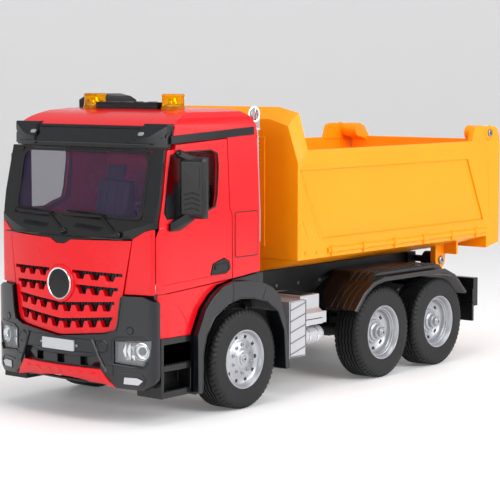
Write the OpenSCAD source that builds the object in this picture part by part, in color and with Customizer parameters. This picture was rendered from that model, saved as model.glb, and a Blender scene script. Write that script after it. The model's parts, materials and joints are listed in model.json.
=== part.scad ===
// Remote-controlled style toy dump truck: three axles, fixed cab with opening
// doors, steered front wheels, tipping bed with a hanging tailgate.
// +X forward, +Y left, +Z up, millimetres. The origin is on the floor under the
// middle of the length. Inside the modules x is counted from the front axle.

/* [Wheels and axles] */
// Outer radius of every tyre
tyre_r = 31.5; // [28:0.5:34]
// Width of a tyre
tyre_w = 21; // [18:0.5:21.5]
// Radius where the tyre meets the rim
rim_r = 18.5; // [16:0.5:20]
// Outer side face of the tyres from the centre plane
track_y = 72.2; // [70:0.1:74]
// Front axle to first rear axle
wheelbase = 149.3; // [140:0.1:160]
// First to second rear axle
bogie = 68.4; // [66:0.1:76]
// Radius of the axle stubs that carry the wheels
stub_r = 2; // [1.5:0.1:2.5]

/* [Steering] */
// Kingpin distance from the centre plane
kingpin_y = 50; // [48:0.5:52]
// Kingpin radius
kingpin_r = 1.5; // [1.2:0.1:2]

/* [Cab] */
// Half width of the cab at the doors
cab_hw = 67.5; // [64:0.5:69]
// Rear wall of the cab
cab_rear = -20; // [-24:1:-16]
// Height of the roof crown
roof_z = 187.8; // [184:0.2:192]
// Thickness of moulded panels
wall = 3; // [2:0.5:4]

/* [Bed] */
// Half width of the bed
bed_hw = 69.5; // [66:0.5:72]
// Front face of the headboard
bed_front = -56.2; // [-60:0.2:-52]
// Rear end of the bed
bed_rear = -303; // [-310:1:-296]
// Top of the side walls
bed_top = 159.5; // [150:0.5:170]
// Pivot of the bed behind the last axle, x
pivot_x = -254; // [-260:1:-250]
// Pivot of the bed, height
pivot_z = 71.6; // [70:0.2:74]
// Radius of the pivot shaft
pivot_r = 2.5; // [2:0.1:3]

/* [Hidden] */
$fn = 48;
skid_x = 92.6;            // foremost point of the skid plate
ox = (bed_rear + 1.2 + skid_x) / -2; // front axle ahead of the middle of the length
ax_z = tyre_r;
x1 = -wheelbase;
x2 = -wheelbase - bogie;
wheel_in = track_y - tyre_w;
run = 0.05;               // radial clearance of a running fit
fasc_x = 89.5;            // foremost point of the fascia arc
fasc_r = 170;             // radius of the fascia arc in plan
lift_b = [-104, 48];       // lift cylinder base pin, x z
lift_e = [-206, 84];      // lift cylinder rod eye at rest, x z
lift_len = norm(lift_e - lift_b);
lift_ang = atan2(lift_e[1] - lift_b[1], lift_b[0] - lift_e[0]);
gate_x = -288;            // tailgate hinge, x
gate_z = 165;             // tailgate hinge, z
tip_max = 45;             // largest tip angle of the bed

// ---------- helpers ----------
// a profile drawn in (y, z), extruded along x
module xprof(a, b) translate([a, 0, 0]) rotate([90, 0, 90]) linear_extrude(b - a) children();
// a profile drawn in (x, z), extruded along y
module yprof(a, b) translate([0, b, 0]) rotate([90, 0, 0]) linear_extrude(b - a) children();
// a profile drawn in (x, y), extruded along z
module zprof(a, b) translate([0, 0, a]) linear_extrude(b - a) children();
module box(x0, x1, y0, y1, z0, z1) translate([x0, y0, z0]) cube([x1 - x0, y1 - y0, z1 - z0]);
// a cylinder along y
module ycyl(x, z, y0, y1, r) translate([x, y1, z]) rotate([90, 0, 0]) cylinder(h = y1 - y0, r = r);
module both() { children(); mirror([0, 1, 0]) children(); }
module place() translate([ox, 0, 0]) children();
// convex mirrored profile from its y > 0 half, listed from bottom to top
module mirrored(p) polygon(concat(p, [for (i = [len(p) - 1:-1:0]) [-p[i][0], p[i][1]]]));
// plan of the fascia: everything behind an arc whose front is at x = f
module arc_plan(f, back) intersection() {
  translate([f - fasc_r, 0]) circle(r = fasc_r, $fn = 200);
  translate([back, -100]) square([200, 200]);
}
module arc_band(f, t) difference() {
  arc_plan(f, 40);
  translate([f - t - fasc_r, 0]) circle(r = fasc_r, $fn = 200);
}

// ---------- chassis ----------
module chassis_frame() place() color("#1d1e20") difference() {
  union() {
    both() box(-269, 62, 22, 26, 42, 58);
    for (x = [56, 22, -34, -90, -184, -262]) box(x - 4, x + 4, -23, 23, 44, 56);
    // subframe rails that carry the bed
    both() yprof(22.5, 26) polygon([[-52, 57], [-52, 70], [-60, 77], [-236, 77], [-242, 77], [-242, 57]]);
    both() box(-251, -241, 22.5, 29, 57, 77);
    // cross tube and uprights for the bed pivot
    box(-262, -246, -42, 42, 52, 58);
    both() difference() {
      union() {
        box(-261, -247, 36, 42, 52, pivot_z);
        ycyl(pivot_x, pivot_z, 36, 42, 6);
      }
    }
    ycyl(pivot_x, pivot_z, -49.5, 49.5, pivot_r);
    // uprights for the lift cylinder
    both() difference() {
      union() {
        box(lift_b[0] - 6, lift_b[0] + 6, 9.5, 22.5, 42, 45);
        box(lift_b[0] - 5, lift_b[0] + 5, 9.5, 12.5, 43, lift_b[1]);
        ycyl(lift_b[0], lift_b[1], 9.5, 12.5, 5);
      }
    }
    ycyl(lift_b[0], lift_b[1], -12.5, 12.5, 2);
  }
}

module front_axle_beam() place() color("#2a2b2d") difference() {
  union() {
    box(-4, 4, -kingpin_y + 2.5, kingpin_y - 2.5, 28, 35);
    both() translate([0, kingpin_y, 27]) cylinder(h = 9, r = 3.6);
    both() box(-7, 7, 21, 27, 35, 37.2);
  }
  both() translate([0, kingpin_y, 20]) cylinder(h = 30, r = kingpin_r + run);
}

module rear_axles() place() color("#2a2b2d") for (x = [x1, x2]) {
  ycyl(x, ax_z, -50, 50, 6);
  both() box(x - 5, x + 5, 29, 35, 34, 40);
  ycyl(x, ax_z, -track_y + 1.2, track_y - 1.2, stub_r);
  intersection() {
    translate([x, 0, ax_z]) sphere(r = 12);
    box(x - 9, x + 9, -14, 14, 10, 50);
  }
}

module leaf_springs() place() color("#222325") {
  // front pair, each a stack of three leaves
  both() for (i = [0:2]) box(-26 + 6 * i, 26 - 6 * i, 21.5, 26.5, 40.4 - 1.6 * i, 42 - 1.6 * i);
  // rear pair between the rear axles
  both() {
    for (i = [0:3]) box((x1 + x2) / 2 - 38 + 8 * i, (x1 + x2) / 2 + 38 - 8 * i, 29, 35, 40 + 2 * i, 42 + 2 * i);
    box((x1 + x2) / 2 - 5, (x1 + x2) / 2 + 5, 26, 35, 44, 54);
  }
}

module battery_box() place() color("#26272a") difference() {
  box(-106, -40, -24, 24, 22, 42);
  both() box(-107, -39, 20, 25, 21, 36);
  // lower side boxes between the locker and the rear wheels
  box(-116.5, -95, 23.9, 47, 20.5, 42);
  box(-116.5, -108.5, -47, -23.9, 20.5, 42);
  box(-116.5, -105.9, -24, 24, 22, 42);
}

module gearbox() place() color("#2b2c2f") {
  box(x2 + 13.5, x1 - 13.5, -15, 15, 22, 40);
  box(x2 + 16, x1 - 16, -24, 24, 40, 42);
}

// ---------- front end ----------
module front_bumper() place() color("#3c3f44") difference() {
  intersection() {
    zprof(18, 80) difference() {
      arc_plan(92.2, 70);
      translate([92.2 - 5 - fasc_r, 0]) circle(r = fasc_r, $fn = 200);
    }
    xprof(60, 100) mirrored([[0, 32.6], [33, 32.6], [43.5, 22], [60, 21.4], [66, 25], [68, 30], [68, 74], [60, 77.5], [47, 77.5], [44.6, 61], [43, 57], [36, 54.2], [0, 50.4]]);
    box(74.2, 100, -68.5, 68.5, 0, 100);
  }
  // headlamp recesses
  both() xprof(70, 100) polygon([[42, 37], [60, 35.5], [64.5, 42], [65.5, 52], [42, 50.5]]);
  // shallow recess over the skid plate, with three square holes
  intersection() {
    zprof(30, 41.6) difference() {
      arc_plan(94, 70);
      translate([92.2 - 2.4 - fasc_r, 0]) circle(r = fasc_r, $fn = 200);
    }
    box(60, 100, -32.6, 32.6, 0, 60);
  }
  for (y = [-19, 0, 19]) box(60, 100, y - 3, y + 3, 33.6, 38.8);
  // rounded outer corners
  both() zprof(14, 90) polygon([[74, 68.1], [75.8, 67.7], [77.2, 66.9], [78.4, 65.7], [79.35, 64], [80.75, 61.4], [95, 61.4], [95, 75], [74, 75]]);
}

module headlamps() place() color("#d9dde0") intersection() {
  box(74, 100, -70, 70, 0, 100);
  zprof(30, 60) difference() {
    arc_plan(91, 70);
    translate([91 - 5 - fasc_r, 0]) circle(r = fasc_r, $fn = 200);
  }
  both() xprof(60, 100) polygon([[42.3, 37.3], [59.8, 35.8], [64.1, 42.1], [65.1, 51.7], [42.3, 50.2]]);
}

module skid_plate() place() color("#c8202a") intersection() {
  zprof(15, 40) difference() {
    arc_plan(skid_x, 62);
    translate([skid_x - 5 - fasc_r, 0]) circle(r = fasc_r, $fn = 200);
  }
  xprof(60, 100) mirrored([[0, 23.5], [31, 23.5], [42.5, 21.6], [32.8, 32.6], [0, 32.6]]);
  yprof(-60, 60) polygon([[70, 20], [84.6, 20], [86.6, 24], [92.9, 31.2], [92.9, 34], [70, 34]]);
}

module cab_steps() place() color("#191a1c") both() difference() {
  box(46.4, 73.5, 48, 68, 16, 52);
  // two open treads
  for (z = [20, 36]) box(47.5, 71, 58, 70, z, z + 12);
}

arch_out = [[45.5, 16], [45.9, 52], [38.5, 66.5], [31, 73.7], [22.5, 79], [12, 81.4], [-4.4, 80.6], [-16, 78.6], [-26, 74.5], [-33.4, 68.7], [-40, 50], [-43.9, 20.3]];
arch_in = [[-39.7, 20.3], [-38, 45.9], [-31.5, 58.8], [-20.5, 66], [-7.5, 69.2], [5.4, 70.3], [17.5, 68], [30.2, 61.2], [37.9, 51], [40.9, 39.2], [41.4, 16]];
module front_arches() place() color("#35383d") both() difference() {
  union() {
    yprof(69, 73) polygon(concat(arch_out, arch_in));
    yprof(47, 70) polygon(concat([for (p = arch_out) [p[0] * 0.985, p[1] - 1]], arch_in));
    // guard under the rear of the cab
    yprof(47, 67.4) polygon([[7, 81.8], [-23, 84.4], [-23, 74], [-16, 76], [-4.4, 78], [7, 79]]);
  }
}

module side_locker() place() color("#b9bcc0") {
  box(-68.4, -50.5, 30, 67, 25, 62);
  xprof(-88, -67.8) polygon([[31, 44], [66, 44], [66, 52], [62.5, 54.5], [62.5, 63.6], [31, 63.6]]);
  xprof(-92.4, -87.9) polygon([[32, 44.4], [65.4, 44.4], [65.4, 52], [32, 52]]);
  box(-80, -67.4, 31.5, 52, 25.6, 44.1);
  // air tank with a domed end
  translate([-67.6, 59.4, 36.4]) rotate([0, -90, 0]) rotate_extrude() polygon([[0, 0], [6.2, 0], [6.2, 20.5], [5.8, 22.3], [4.7, 23.8], [2.6, 24.9], [0, 25.3]]);
  box(-84, -60, 26, 31, 46, 54);
}

module fuel_tank() place() color("#b9bcc0") difference() {
  union() {
    box(-108, -52, -67, -30, 24, 58);
    box(-96, -64, -31, -26, 46, 54);
  }
  for (x = [-98, -62]) box(x - 2.5, x + 2.5, -68, -66.3, 20, 60);
}

mud_line = [[-116, 49.5], [-126, 60], [-138, 67], [-150, 69], [-225, 68.6], [-238, 63.5], [-253.5, 49.5]];
module rear_mudguards() place() color("#26282b") both() {
  difference() {
    union() {
      yprof(46, 72.5) polygon(concat(mud_line, [for (i = [len(mud_line) - 1:-1:0]) [mud_line[i][0] + (i < 2 ? -2.2 : i > 4 ? 2.2 : 0), mud_line[i][1] - (i < 2 || i > 4 ? 0.9 : 2.2)]]));
      intersection() {
        yprof(30, 47) polygon(concat(mud_line, [for (i = [len(mud_line) - 1:-1:0]) [mud_line[i][0] + (i < 2 ? -2.2 : i > 4 ? 2.2 : 0), mud_line[i][1] - (i < 2 || i > 4 ? 0.9 : 2.2)]]));
        box(-243, -100, 20, 60, 50, 80);
      }
      yprof(30, 67) polygon([[-140, 67], [-146, 71.5], [-150, 72.4], [-220, 72.4], [-226, 71.2], [-232, 66.5], [-225, 68.3], [-150, 68.7]]);
    }
  }
  // brackets to the frame
  for (x = [-140, -183, -228]) box(x - 3, x + 3, 26, 47, 55, 57.5);
  for (x = [-140, -183, -228]) box(x - 3, x + 3, 45, 47, 55, 67);
}

module tail_lamp_bar() place() color("#202124") {
  box(-274, -269, -68, 68, 40, 50);
  both() box(-276, -270, 44, 68, 37, 58);
  both() box(-271, -268.6, 48, 68, 26, 39);
}

module exhaust_stack() place() color("#c9ccd0") difference() {
  union() {
    translate([-24, 59.3, 86]) cylinder(h = 90, r = 2.8);
    translate([-24, 59.3, 174]) cylinder(h = 15.4, r = 3.6);
    box(-26.6, -22.4, 22.6, 59.3, 86, 89);
    box(-26.6, -22.4, 22.6, 25.9, 58, 89);
  }
  translate([-24, 59.3, 175.5]) cylinder(h = 20, r = 2.9);
  // slanted open end, facing forwards and outwards
  translate([-24, 59.3, 183.6]) rotate([0, 54, 39.5]) translate([-20, -20, 0]) cube([40, 40, 20]);
}

// ---------- cab ----------
function side_y(z) = z < 121 ? cab_hw : cab_hw - (z - 121) * 0.043;
// cab outline in (y, z)
module cab_section(t, z0, z1) mirrored([[cab_hw - t, z0], [cab_hw - t, 121], [side_y(z1) - t, z1]]);
door_pts = [[74.4, 78.6], [74.4, 112], [72, 117], [72, 122], [64.3, 163.9], [57.5, 164], [57.2, 166.8], [9.8, 169.3], [9.6, 126], [7.6, 123], [7.3, 82.6]];
window_pts = [[62.4, 160.8], [55.5, 162.4], [25, 162.8], [19, 160.5], [18.5, 153], [20.5, 135], [22.5, 128], [30.5, 125.8], [38, 122.8], [67, 123], [69, 127], [67.6, 138], [64.6, 152.4]];
// the opening for the door, about g larger all round and open to the front
module door_opening(g) polygon([[90, 78.6 - g], [90, 164 + g], [57.7 + g, 164 + g], [57.4 + g, 167 + g], [9.8 - g, 169.5 + g], [9.6 - g, 126 + g], [7.6 - g, 123], [7.3 - g, 82.6 - g], [74.4, 78.6 - g]]);

module cab_shell() place() color("#d3202a") difference() {
  union() {
    difference() {
      xprof(cab_rear, 75) cab_section(0, 52, 171);
      xprof(cab_rear + wall, 80) cab_section(wall, 50, 168.2);
      // under the rear and over the wheel
      yprof(-80, 80) polygon([[-30, 40], [-30, 84.9], [cab_rear, 84.9], [7.3, 82.4], [22.5, 79.9], [31, 74.7], [38.9, 67.3], [46.6, 52.5], [46.6, 40]]);
      // slanted front
      yprof(-80, 80) polygon([[73.6, 50], [73.6, 104], [71.9, 121], [62.6, 164], [57.8, 164], [57.8, 175], [90, 175], [90, 50]]);
    }
  }
  both() yprof(40, 90) door_opening(0.5);
  corner_cut();
}

module cab_floor() place() color("#232427") {
  difference() {
    union() {
      box(cab_rear + 3.2, 72, -64, 64, 84, 87);
      box(69, 72, -60, 60, 86, 104);
    }
    both() box(-10, 46, 40, 66, 80, 83.9);
  }
  // seat bases
  both() box(10, 34, 18, 48, 86.9, 100);
}

module cab_mounts() place() color("#1d1e20") both() for (x = [-12, 50]) {
  box(x - 4, x + 4, 20, 27, 58, 84);
}

module roof_shape(t) intersection() {
  xprof(cab_rear - 5, 75) mirrored([[side_y(170) - t, 171.1 - (t > 0 ? 5 : 0)], [side_y(178) - t, 178], [side_y(178) - 1.8 - t, 182.3 - t / 2], [side_y(178) - 6 - t, 185.6 - t], [side_y(178) - 14 - t, 187 - t], [24, roof_z - t], [0, roof_z - t]]);
  yprof(-80, 80) polygon([[64.8 - t, 160], [64.2 - t, 173], [60.5 - t, 177.5], [55 - t, 180.8 - t / 2], [48 - t, 183.6 - t], [40 - t, 185.8 - t], [28, 187.2 - t], [10, roof_z - t], [-2, roof_z - t], [-9 + t, 186.6 - t], [-15 + t, 183 - t / 2], [-18.8 + t, 177], [cab_rear + t, 170], [cab_rear + t, 160]]);
}
module roof() place() color("#d3202a") difference() {
  roof_shape(0);
  roof_shape(wall);
  box(-60, 90, -90, 90, 160, 171.05);
  // seat for the panel above the windscreen
  box(49.8, 90, -50.4, 50.4, 160, 177.7);
  both() yprof(50.3, 90) polygon([[59.4, 170.9], [57.1, 177.9], [90, 177.9], [90, 170.9]]);
}

module grille_panel() place() color("#d3202a") difference() {
  intersection() {
    zprof(49, 112) arc_band(fasc_x, 3.2);
    xprof(60, 100) mirrored([[0, 51], [34, 54.6], [40.5, 56.6], [42.6, 60], [43.6, 66], [51.8, 110.4], [9, 109.4], [3.5, 106.6], [0, 106.6]]);
  }
  // four rows of slots with a toothed lower edge
  both() for (row = [0:3]) xprof(60, 100) slot_row(row);
}
// half of one slot row, y > 0: a band with wide notches hanging from it
module slot_row(r) {
  z = [90.4, 81.7, 70.8, 60.8][r];
  a = [9.8, 12.6, -0.1, -0.1][r];
  b = [46, 43, 40.4, 39.2][r];
  notches = [[16, 26.8, 37.6], [17.6, 27, 36.4], [5.3, 15.8, 25.8, 35.2], [5.2, 15.2, 25, 34.4]][r];
  tilt = [-0.02, -0.02, 0.068, 0.088][r];
  deep = [5.2, 5.5, 5.8, 6][r];
  function top(y) = z + tilt * y + [1, 1, 0, 0][r];
  polygon(concat(
    [[b, top(b)], [a, top(a)]],
    [[a, top(a) - 2]],
    [for (n = notches) for (k = [0:3]) let (y = n + [-3.8, -2.3, 2.3, 3.8][k]) [y, top(y) - [2, deep, deep, 2][k]]],
    [[b, top(b) - 2]]));
}

module corner_panels() place() color("#d3202a") both() difference() {
  intersection() {
    zprof(76, 119) arc_band(fasc_x, 3.2);
    xprof(60, 100) polygon([[46.9, 78.2], [60, 78.2], [66.8, 78.2], [66.8, 118], [60, 116.2], [52.3, 111.5]]);
  }
  both() box(60, 74.9, 63.8, 70, 70, 120);
  corner_cut();
}

// windscreen plane: x at a given height
function ws_x(z) = 75.3 - (z - 121.7) * 8.7 / 42.2;
module windscreen_surround() place() color("#141517") difference() {
  union() {
    // frame in the plane of the glass
    intersection() {
      yprof(-70, 70) polygon([[ws_x(108), 108], [ws_x(170.8), 170.8], [ws_x(170.8) - 2, 170.8], [ws_x(108) - 2, 108]]);
      xprof(50, 90) mirrored([[50, 104], [50, 118.6], [66.4, 118.6], [66.4, 121], [64.6, 164.2], [50, 164.2], [50, 170.8]]);
    }
    // cowl ledge
    difference() {
      intersection() {
        zprof(105, 122) arc_plan(88.9, 73.4);
        box(60, 100, -66.6, 66.6, 100, 125);
      }
      yprof(-80, 80) polygon([[75.2, 122.5], [95, 104.1], [95, 130], [75.2, 130]]);
      xprof(60, 100) mirrored([[0, 90], [53, 90], [53, 104], [51.6, 111.4], [9, 109.5], [3.5, 106.7], [0, 106.7]]);
      both() xprof(60, 100) polygon([[46, 90], [52.1, 111.6], [60, 116.4], [68, 118.4], [68, 90]]);
      box(60, 76, -80, 80, 100, 106);
    }
  }
  corner_cut();
  // glass opening
  yprof(-54.8, 54.8) polygon([[ws_x(122) + 6, 122], [ws_x(163) + 6, 163], [ws_x(163) - 8, 163], [ws_x(122) - 8, 122]]);
}

module windscreen() place() color("#b9b4c6", 0.5) yprof(-54.7, 54.7)
  polygon([[ws_x(122.1) - 0.4, 122.1], [ws_x(162.9) - 0.4, 162.9], [ws_x(162.9) - 1.9, 162.9], [ws_x(122.1) - 1.9, 122.1]]);

module sun_visor() place() color("#2f3236") {
  intersection() {
    // plan: flat in the middle, swept back at the ends
    zprof(164.5, 177.6) mirrored_x([[68.6, 0], [67.8, 40], [66.4, 54], [62.8, 64.8], [40, 64.8]]);
    union() {
      yprof(-50.2, 50.2) polygon([[ws_x(164.5) + 0.15, 164.5], [68.8, 164.5], [69, 166.5], [62, 177.6], [50, 177.6], [50, 171.1], [ws_x(171.1) + 0.15, 171.1]]);
      both() yprof(50.2, 65) polygon([[61.6, 164.5], [68.8, 164.5], [69, 166.5], [62, 177.6], [57.6, 177.6]]);
    }
  }
  // raised ends
  difference() {
    intersection() {
      zprof(165.5, 179.2) mirrored_x([[69.8, 0], [69, 40], [67.4, 54], [63.8, 65], [50, 65]]);
      both() xprof(40, 90) polygon([[43, 165.5], [46, 179.2], [65.4, 179.2], [65.4, 165.5]]);
      yprof(-70, 70) polygon([[61.4, 165.5], [70, 165.5], [69.6, 168], [63.2, 179.2], [57.1, 179.2]]);
    }
    roof_shape(0);
    // clear of the windscreen frame
    yprof(-51, 51) polygon([[40, 160], [ws_x(160) + 0.15, 160], [ws_x(171.1) + 0.15, 171.1], [40, 171.1]]);
  }
  // side trims running back under the roof
  both() yprof(65.55, 66.7) polygon([[62, 167.4], [cab_rear + 5, 171.3], [cab_rear + 5, 176], [62, 172.2]]);
}
// plan outline mirrored in y, listed from the front centre outwards
module mirrored_x(p) polygon(concat(p, [for (i = [len(p) - 1:-1:0]) [p[i][0], -p[i][1]]]));

module roof_light_bar() place() color("#17181a") difference() {
  union() {
    box(20.5, 30.5, -26.4, 26.4, 182, 191.2);
    // beacon bases
    both() translate([24, 33.7, 182]) cylinder(h = 6.6, r = 7.3);
    // low housing behind the right beacon
    intersection() {
      yprof(-70, -20) polygon([[-18.5, 182], [15.6, 182], [15.2, 187], [13.4, 191], [9.8, 194.4], [5, 196], [-7.5, 196], [-12.5, 194.4], [-16.4, 191], [-18.2, 187]]);
      xprof(-20, 20) polygon([[-62.4, 182], [-31.5, 182], [-31.9, 187], [-33.6, 191], [-37, 194.4], [-41.5, 196], [-52, 196], [-57, 194.4], [-60.6, 191], [-62.1, 187]]);
      zprof(181, 197) polygon([[-18.5, -56], [-13, -62.4], [10, -62.4], [15.6, -56], [15.6, -38], [10, -31.5], [-13, -31.5], [-18.5, -38]]);
    }
  }
  roof_shape(0);
}

module beacons() place() color("#f0a020") both() {
  translate([24, 33.7, 188.6]) cylinder(h = 8, r = 7.1);
}

module dashboard() place() color("#34363a") difference() {
  union() {
    box(55, 71, -60, 60, 104.1, 119);
    yprof(14, 46) polygon([[52, 104.1], [48, 116], [56, 120.5], [60, 104.1]]);
  }
  yprof(-70, 70) polygon([[ws_x(100) - 4, 100], [ws_x(125) - 4, 125], [90, 125], [90, 100]]);
  translate([46, 33, 121]) rotate([0, -62, 0]) translate([0, 0, -12]) cylinder(h = 12, r = 1.7);
}

module seats() place() color("#4a4c52") both() {
  box(9, 36, 19, 47, 100.1, 107);
  yprof(19, 47) polygon([[8, 107.01], [14, 107.01], [8, 140], [2, 140], [1, 120]]);
  yprof(25, 41) polygon([[4.5, 140.01], [8, 140.01], [6, 150], [2.5, 150]]);
}

module steering_wheel() place() color("#202124") translate([46, 33, 121]) rotate([0, -62, 0]) {
  rotate_extrude() translate([10.5, 0]) circle(r = 1.2);
  cylinder(h = 2.4, r = 3, center = true);
  for (a = [0, 120, 240]) rotate([0, 0, a]) translate([0, -1, -0.8]) cube([10.5, 2, 1.6]);
  translate([0, 0, -6.8]) cylinder(h = 7, r = 1.6);
}

// ---------- doors ----------
// plan cut that rounds the front corners of the cab
module corner_cut() both() zprof(40, 176) polygon([[58.5, 67.6], [65, 67.35], [70, 66.6], [74.6, 65.2], [79, 62.4], [95, 60], [95, 90], [58.5, 90]]);
module door_body() difference() {
  intersection() {
    xprof(0, 80) polygon([[cab_hw - wall, 60], [cab_hw, 60], [cab_hw, 121], [side_y(172), 172], [side_y(172) - wall, 172], [cab_hw - wall, 121]]);
    yprof(40, 90) polygon(door_pts);
  }
  yprof(40, 90) polygon(window_pts);
  corner_cut();
  // handle recess
  yprof(cab_hw - 1.4, cab_hw + 2) polygon([[28, 86.4], [26, 93.2], [15.2, 96.2], [9.8, 93.6], [8.9, 88.8], [13, 86.3]]);
}
module door_pane() intersection() {
  xprof(0, 80) polygon([[cab_hw - wall - 1.3, 60], [cab_hw - wall, 60], [cab_hw - wall, 121], [side_y(172) - wall, 172], [side_y(172) - wall - 1.3, 172], [cab_hw - wall - 1.3, 121]]);
  yprof(40, 90) polygon([[64, 163.2], [18, 164.5], [16.5, 150], [18, 128], [28, 123], [36, 120.5], [69.8, 120.5], [70, 127], [69, 138], [66.2, 152.4]]);
}
module mirror_body() {
  // housing
  difference() {
    hull() {
      zprof(126, 157) polygon([[56.5, 68], [57.5, 70.2], [52.5, 82.2], [50, 83], [48, 82.6], [49, 68]]);
      zprof(123, 159.5) polygon([[54, 68.4], [54.4, 70.2], [50.8, 81.6], [46.8, 82.2], [47.6, 68.4]]);
    }
    box(40, 48.4, 69.9, 80.6, 125, 157.5);
  }
  // arms to the door
  difference() {
    union() {
      hull() {
        box(50, 54, 73, 76, 157, 160);
        box(54, 57, side_y(163) - 2, side_y(163) + 2, 160.2, 163.5);
      }
      hull() {
        box(50, 54, 71, 74, 122, 127);
        box(58, 66, cab_hw - 2, cab_hw + 2, 116, 120.5);
      }
    }
    xprof(0, 80) polygon([[40, 60], [cab_hw, 60], [cab_hw, 121], [side_y(172), 172], [40, 172]]);
  }
  // door handle
  yprof(cab_hw - 1.38, cab_hw + 0.1) polygon([[27.4, 86.9], [25.5, 92.7], [15.3, 95.6], [10.3, 93.2], [9.5, 89.1], [13.2, 86.9]]);
}
module door_left() place() color("#d3202a") door_body();
module door_right() place() color("#d3202a") mirror([0, 1, 0]) door_body();
module door_glass_left() place() color("#b9b4c6", 0.5) door_pane();
module door_glass_right() place() color("#b9b4c6", 0.5) mirror([0, 1, 0]) door_pane();
module mirror_left() place() color("#17181a") mirror_body();
module mirror_right() place() color("#17181a") mirror([0, 1, 0]) mirror_body();

// ---------- steering ----------
module knuckle() {
  // kingpin and the two fork plates
  translate([0, kingpin_y, 24]) cylinder(h = 15, r = kingpin_r);
  for (z = [24, 36.5]) {
    translate([0, kingpin_y, z]) cylinder(h = 2.5, r = 3.5);
    box(-3.5, 3.5, kingpin_y, kingpin_y + 6.6, z, z + 2.5);
  }
  box(-3.5, 3.5, kingpin_y + 4.4, kingpin_y + 7, 24, 39);
  ycyl(0, ax_z, kingpin_y + 6.5, track_y - 1.2, stub_r);
  // steering arm with its pin
  box(-11, 0, kingpin_y - 1.6, kingpin_y + 1.6, 24, 26.5);
  translate([-11, kingpin_y, 24]) cylinder(h = 2.5, r = 1.9);
  translate([-11, kingpin_y, 24]) cylinder(h = 6, r = 1);
}
module knuckle_left() place() color("#2a2b2d") knuckle();
module knuckle_right() place() color("#2a2b2d") mirror([0, 1, 0]) knuckle();
module tie_rod() place() color("#8e9196") difference() {
  union() {
    box(-12.6, -9.4, -kingpin_y, kingpin_y, 27, 29.2);
    both() translate([-11, kingpin_y, 27]) cylinder(h = 2.2, r = 2.4);
    both() box(-13.4, -8.6, kingpin_y - 3, kingpin_y, 27, 29.2);
  }
  // slots that leave the pins their small fore and aft swing
  both() {
    translate([-11, kingpin_y, 20]) cylinder(h = 20, r = 1.25);
    translate([-9.8, kingpin_y, 20]) cylinder(h = 20, r = 1.25);
    box(-11, -9.8, kingpin_y - 1.25, kingpin_y + 1.25, 20, 40);
  }
}

// ---------- wheels ----------
// local axis along y, outer side towards +y, centre plane at 0
module rim(deep) {
  h = tyre_w / 2;
  rotate([-90, 0, 0]) rotate_extrude($fn = 96) polygon(deep
    ? [[stub_r + run, -4], [7, -4], [7, -1], [rim_r - 2.6, -1.5], [rim_r - 2.6, -h + 0.6], [rim_r, -h + 0.6], [rim_r, h - 0.4], [rim_r - 1.6, h - 0.4], [rim_r - 2.6, h - 3], [rim_r - 4, 1.5], [9, 1.5], [8, 4.2], [4, 5], [stub_r + run, 5]]
    : [[stub_r + run, 1.5], [7, 1.5], [9, 3.4], [rim_r - 2.6, 3.4], [rim_r - 2.6, -h + 0.6], [rim_r, -h + 0.6], [rim_r, h - 0.4], [rim_r - 1.6, h - 0.4], [rim_r - 2.6, h - 1.8], [10.5, h - 2.6], [9, h - 3.4], [5.5, h - 1.6], [stub_r + run, h - 1.2]]);
}
module tyre() {
  h = tyre_w / 2;
  rotate([-90, 0, 0]) rotate_extrude($fn = 96) polygon([[rim_r, -h + 0.8], [rim_r + 1, -h], [tyre_r - 4, -h], [tyre_r - 1.2, -h + 1.2], [tyre_r, -h + 3], [tyre_r, h - 3], [tyre_r - 1.2, h - 1.2], [tyre_r - 4, h], [rim_r + 1, h], [rim_r, h - 0.8]]);
}
module at_wheel(x) place() translate([x, track_y - tyre_w / 2, ax_z]) children();
module rim_front_left() color("#c8cacd") at_wheel(0) rim(false);
module rim_front_right() color("#c8cacd") mirror([0, 1, 0]) at_wheel(0) rim(false);
module rim_mid_left() color("#c8cacd") at_wheel(x1) rim(true);
module rim_mid_right() color("#c8cacd") mirror([0, 1, 0]) at_wheel(x1) rim(true);
module rim_rear_left() color("#c8cacd") at_wheel(x2) rim(true);
module rim_rear_right() color("#c8cacd") mirror([0, 1, 0]) at_wheel(x2) rim(true);
module tyre_front_left() color("#1c1d1f") at_wheel(0) tyre();
module tyre_front_right() color("#1c1d1f") mirror([0, 1, 0]) at_wheel(0) tyre();
module tyre_mid_left() color("#1c1d1f") at_wheel(x1) tyre();
module tyre_mid_right() color("#1c1d1f") mirror([0, 1, 0]) at_wheel(x1) tyre();
module tyre_rear_left() color("#1c1d1f") at_wheel(x2) tyre();
module tyre_rear_right() color("#1c1d1f") mirror([0, 1, 0]) at_wheel(x2) tyre();

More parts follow.
